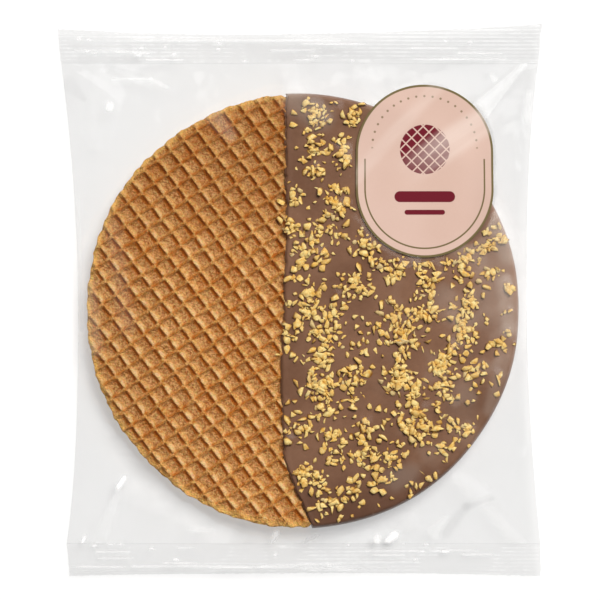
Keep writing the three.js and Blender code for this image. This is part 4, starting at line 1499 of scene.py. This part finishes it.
# %% Print of the sticker
# sizes in millimetres from the sticker's middle
PRINT_SOFTNESS = 0.12
BORDER_WIDTH = 0.78
INNER_LINE_INSET = 3.2
INNER_LINE_HALF = 0.27
EMBLEM_Y = 7.4
EMBLEM_RADIUS = 8.6
LATTICE_SHIFT = 40.0 * math.sqrt(2)
LATTICE_HALF_PITCH = 2.0
LATTICE_HALF_LINE = 0.32
ARC_Y = 7.85
ARC_RADIUS = 18.2
DOT_RADIUS = 0.4
DOT_STEP = math.radians(9)
# each bar: y of its middle, half its width, half its height
BARS = ((-9.0, 10.5, 1.9), (-14.4, 7.0, 0.85))


def within(tree, value, limit):
    """1 where the value is below the limit, with a soft step."""
    return band(tree, value, limit + PRINT_SOFTNESS, limit - PRINT_SOFTNESS)


def far_from(tree, a, b):
    """Length of the vector a, b: the root of the sum of both squares."""
    squares = (calc(tree, "MULTIPLY", side, side) for side in (a, b))
    return calc(tree, "SQRT", calc(tree, "ADD", *squares))


def bar_print(tree, x, y, middle_y, half_width, half_height):
    """A bar with round ends: all places within half its height of its middle line."""
    past_line = calc(tree, "SUBTRACT", calc(tree, "ABSOLUTE", x), half_width - half_height)
    beside = calc(tree, "MAXIMUM", past_line, 0.0)
    return within(tree, far_from(tree, beside, calc(tree, "SUBTRACT", y, middle_y)), half_height)


# %% Emblem, arc and lines


def emblem_print(tree, x, y):
    """A disc without two sets of slanted lines: the sum of x and y and their difference,
    each folded to a zigzag, are near 0 on a line."""
    up = calc(tree, "SUBTRACT", y, EMBLEM_Y)
    disc = within(tree, far_from(tree, x, up), EMBLEM_RADIUS)
    lines = []
    for sign in (1.0, -1.0):
        slanted = calc(tree, "ADD", calc(tree, "MULTIPLY_ADD", up, sign, x), LATTICE_SHIFT)
        zigzag = calc(tree, "PINGPONG", slanted, LATTICE_HALF_PITCH)
        lines.append(within(tree, zigzag, LATTICE_HALF_LINE))
    between_lines = calc(tree, "SUBTRACT", 1.0, calc(tree, "MAXIMUM", *lines))
    return calc(tree, "MULTIPLY", disc, between_lines)


def arc_print(tree, x, y):
    """An arc of dots: the angle round the arc's middle, folded to a zigzag, tells how far a
    place lies from the nearest dot along the arc, and its radius how far across."""
    up = calc(tree, "SUBTRACT", y, ARC_Y)
    off_angle = calc(tree, "PINGPONG", calc(tree, "ARCTAN2", up, x), DOT_STEP / 2)
    across = calc(tree, "SUBTRACT", far_from(tree, x, up), ARC_RADIUS)
    dots = within(tree, far_from(tree, across, calc(tree, "MULTIPLY", off_angle, ARC_RADIUS)), DOT_RADIUS)
    return calc(tree, "MULTIPLY", dots, band(tree, up, -0.5, 0.5))


def line_print(tree, y):
    """The border and, below the ends of the arc, a fine line inside it."""
    inside = stored(tree, "inside")
    off_line = calc(tree, "ABSOLUTE", calc(tree, "SUBTRACT", inside, INNER_LINE_INSET))
    inner = calc(tree, "MULTIPLY", within(tree, off_line, INNER_LINE_HALF), band(tree, y, 4.3, 4.0))
    return calc(tree, "MAXIMUM", within(tree, inside, BORDER_WIDTH), inner)


print("dots in the arc: about", round(math.pi / DOT_STEP) + 1)

# %% Painted sheen of the sticker


def slanted_place(tree, place, degrees):
    """The place in axes that run along and across a line rising to the right by this angle."""
    return add_node(tree, "ShaderNodeVectorRotate", {"rotation_type": "Z_AXIS"}, Vector=place,
                    Angle=math.radians(-degrees)).outputs[0]


def beam(tree, across, middle, half_width, softness, full=1.0):
    """Band of light: full within the half width of its middle, fading over the softness."""
    away = calc(tree, "ABSOLUTE", calc(tree, "SUBTRACT", across, middle))
    return band(tree, away, half_width + softness, half_width, full)


def painted_sheen_mask(tree, place):
    """A painted sheen: a wide slanted beam and a narrow, steeper one, both streaked by a stretched noise."""
    wide_place = slanted_place(tree, place, 34.5)
    along, across, _ = axes_of(tree, wide_place)
    steep_across = axes_of(tree, slanted_place(tree, place, 48))[1]
    wide_beam = calc(tree, "MULTIPLY", beam(tree, across, 3.0, 2.0, 5.0), band(tree, along, -11.0, 13.0))
    narrow_beam = beam(tree, steep_across, 16.5, 0.8, 3.0, 0.5)
    stretched = add_node(tree, "ShaderNodeMapping", None, Vector=wide_place,
                         Scale=(0.015, 0.2, 0.0)).outputs[0]
    streaks = band(tree, noise(tree, stretched, 1.0)[0], 0.35, 0.62)
    streaks = calc(tree, "MULTIPLY_ADD", streaks, 0.45, 0.6)
    return calc(tree, "MULTIPLY", calc(tree, "MAXIMUM", wide_beam, narrow_beam), streaks, clamp=True)


# %% Sticker material
LABEL_PINKS = (colour(215, 185, 171), colour(208, 176, 161))
LABEL_SHADED = colour(186, 156, 143)
LABEL_OLIVE = colour(113, 100, 67)
LABEL_BURGUNDY = colour(108, 30, 42)
LABEL_PAINTED_SHEEN = colour(238, 222, 212)


def label_finish():
    """Pink paper with painted shade, a little darker above and to the lower right, olive and
    burgundy print, and a painted sheen. The normal is drawn towards straight up, so that the shade is even."""
    material, tree = new_material("sticker")
    place = stored(tree, "place", "Vector")
    x, y, _ = axes_of(tree, place)
    pink, _ = grain(tree, object_place(tree), *LABEL_PINKS, 1200.0, 30.0, 0.15)
    # painted shade: darker pink above and to the lower right
    pink = mix_colour(tree, band(tree, y, 2.0, 24.0, 0.16), pink, LABEL_SHADED)
    lower_right = calc(tree, "MULTIPLY", band(tree, x, 13.0, 22.0, 0.25), band(tree, y, 12.0, 2.0))
    pink = mix_colour(tree, lower_right, pink, LABEL_SHADED)
    olive = calc(tree, "MAXIMUM", line_print(tree, y), calc(tree, "MULTIPLY", arc_print(tree, x, y), 0.8))
    bars = calc(tree, "MAXIMUM", *(bar_print(tree, x, y, *bar) for bar in BARS))
    base = mix_colour(tree, olive, pink, LABEL_OLIVE)
    base = mix_colour(tree, calc(tree, "MAXIMUM", emblem_print(tree, x, y), bars), base, LABEL_BURGUNDY)
    # painted sheen: the lamp's reflection painted over the print
    sheen = calc(tree, "MULTIPLY", painted_sheen_mask(tree, place), 0.44)
    surface = finish_surface(tree, mix_colour(tree, sheen, base, LABEL_PAINTED_SHEEN), 0.5, IOR=1.22)
    normal = add_node(tree, "ShaderNodeNewGeometry").outputs["Normal"]
    side = calc(tree, "SIGN", axes_of(tree, normal)[2])
    level = add_node(tree, "ShaderNodeCombineXYZ", None, Z=calc(tree, "MULTIPLY", side, 3.0)).outputs[0]
    flatter = vector_calc(tree, "NORMALIZE", vector_calc(tree, "ADD", normal, level))
    tree.links.new(flatter, surface.inputs["Normal"])
    return material


# %% Build the sticker
LABEL_COLUMNS = 110
LABEL_ROWS = 140


def build_label():
    """A thin pillow in stadium outline: rows closer together at both ends, each reaching
    from one side of the outline to the other."""
    row, column = np.meshgrid(np.linspace(0, 1, LABEL_ROWS), np.linspace(0, 1, LABEL_COLUMNS), indexing="ij")
    y = LABEL_CENTRE[1] - LABEL_LENGTH / 2 * np.cos(math.pi * lerp(0.002, 0.998, row))
    beyond = np.maximum(0, np.abs(y - LABEL_CENTRE[1]) - LABEL_STRAIGHT)
    reach = np.sqrt(np.maximum(0, (LABEL_WIDTH / 2) ** 2 - beyond ** 2))
    x = LABEL_CENTRE[0] - reach * np.cos(math.pi * column)
    z = label_under(x, y)
    points, faces = pillow(np.stack([x, y, z + LABEL_THICKNESS], axis=2), np.stack([x, y, z], axis=2))
    piece = make_piece("label", points, faces, label_finish(), node="label")
    store(piece, "inside", -from_label(points[:, 0], points[:, 1]))
    place = piece.data.attributes.new("place", "FLOAT_VECTOR", "POINT")
    local = points - (*LABEL_CENTRE, 0)
    place.data.foreach_set("vector", local.astype(np.float32).ravel())


build_label()

# %% [markdown]
# ## Table, light and camera
# The pack lies on a white table. One square lamp high on the right lights it through a
# bright sky that is dark overhead, so that level film mirrors nothing and only creases
# glint. The camera looks straight down from far away.

# %% Table
TABLE_GREYS = ((0.56, 0.56, 0.56, 1), (0.54, 0.54, 0.54, 1))
TABLE_GLOW = 0.48
TABLE_HALF = 3
TABLE_Z = -0.0004


def table_finish():
    """Matt white that glows a little, so that the shadow on it stays soft."""
    material, tree = new_material("white_table")
    base, height = grain(tree, object_place(tree), *TABLE_GREYS, 400.0, 6.0, 0.5)
    finish_surface(tree, base, 0.9, height, 0.02, 0.0001, Emission_Color=(1, 1, 1, 1),
                   Emission_Strength=TABLE_GLOW)
    return material


table_corners = [(x * TABLE_HALF, y * TABLE_HALF, TABLE_Z) for x, y in ((-1, -1), (1, -1), (1, 1), (-1, 1))]
table_mesh = bpy.data.meshes.new("table")
table_mesh.from_pydata(table_corners, [], [(0, 1, 2, 3)])
table = bpy.data.objects.new("table", table_mesh)
bpy.context.scene.collection.objects.link(table)
table.data.materials.append(table_finish())

# %% Light
KEY_AZIMUTH = math.radians(57)
KEY_TILT = math.radians(32)
KEY_DISTANCE = 3.0
KEY_SIZE = 1.5
KEY_POWER = 94
KEY_COLOUR = (1.0, 0.985, 0.96)
SOFTBOX_TILT = math.radians(33)
SOFTBOX_OUTER = math.cos(math.radians(24))
SOFTBOX_INNER = math.cos(math.radians(13))


def towards_key(tilt, distance=1.0):
    """The place this far away in the key light's direction, leaning by the tilt from
    straight up."""
    across = distance * math.sin(tilt)
    return across * math.cos(KEY_AZIMUTH), across * math.sin(KEY_AZIMUTH), distance * math.cos(tilt)


def build_light():
    """A square lamp that faces the pack and isn't seen in the film's mirror."""
    lamp = bpy.data.lights.new("key", "AREA")
    lamp.shape = "SQUARE"
    lamp.size = KEY_SIZE
    lamp.energy = KEY_POWER
    lamp.color = KEY_COLOUR
    light = bpy.data.objects.new("key", lamp)
    bpy.context.scene.collection.objects.link(light)
    light.location = towards_key(KEY_TILT, KEY_DISTANCE)
    light.rotation_euler = (KEY_TILT, 0, KEY_AZIMUTH + math.pi / 2)
    light.visible_glossy = False
    print("key light at", [round(part, 2) for part in light.location], "m")


build_light()

# %% Sky
SKY_SOUTH = (0.16, 0.16, 0.165, 1)
SKY_NORTH = (0.62, 0.62, 0.63, 1)
SKY_OVERHEAD = (0.07, 0.07, 0.073, 1)
SKY_SOFTBOX = (1.9, 1.9, 1.9, 1)


def build_sky():
    """Sky that is dim overhead, brighter in the north, with a soft bright patch towards the
    key light."""
    world = bpy.data.worlds.new("sky")
    world.use_nodes = True
    tree = world.node_tree
    tree.nodes.clear()
    direction = add_node(tree, "ShaderNodeTexCoord").outputs["Generated"]
    _, north, up = axes_of(tree, direction)
    shade = mix_colour(tree, band(tree, north, -0.5, 0.7), SKY_SOUTH, SKY_NORTH)
    shade = mix_colour(tree, band(tree, up, 0.35, 0.75), shade, SKY_OVERHEAD)
    nearness = vector_calc(tree, "DOT_PRODUCT", direction, towards_key(SOFTBOX_TILT))
    shade = mix_colour(tree, band(tree, nearness, SOFTBOX_OUTER, SOFTBOX_INNER), shade, SKY_SOFTBOX)
    background = add_node(tree, "ShaderNodeBackground", None, Color=shade, Strength=1.0)
    add_node(tree, "ShaderNodeOutputWorld", None, Surface=background.outputs[0])
    bpy.context.scene.world = world
    print("sky:", len(tree.nodes), "nodes")


build_sky()

# %% Camera
CAMERA_PLACE = (0.00017, 0, 0.909)
CAMERA_LENS = 155.6

lens = bpy.data.cameras.new("camera")
lens.sensor_width = 36
lens.lens = CAMERA_LENS
lens.clip_start = 0.01
camera = bpy.data.objects.new("camera", lens)
bpy.context.scene.collection.objects.link(camera)
camera.location = CAMERA_PLACE
bpy.context.scene.camera = camera
bpy.context.scene.view_settings.view_transform = "Standard"
print("camera", CAMERA_PLACE[2], "m above the table")
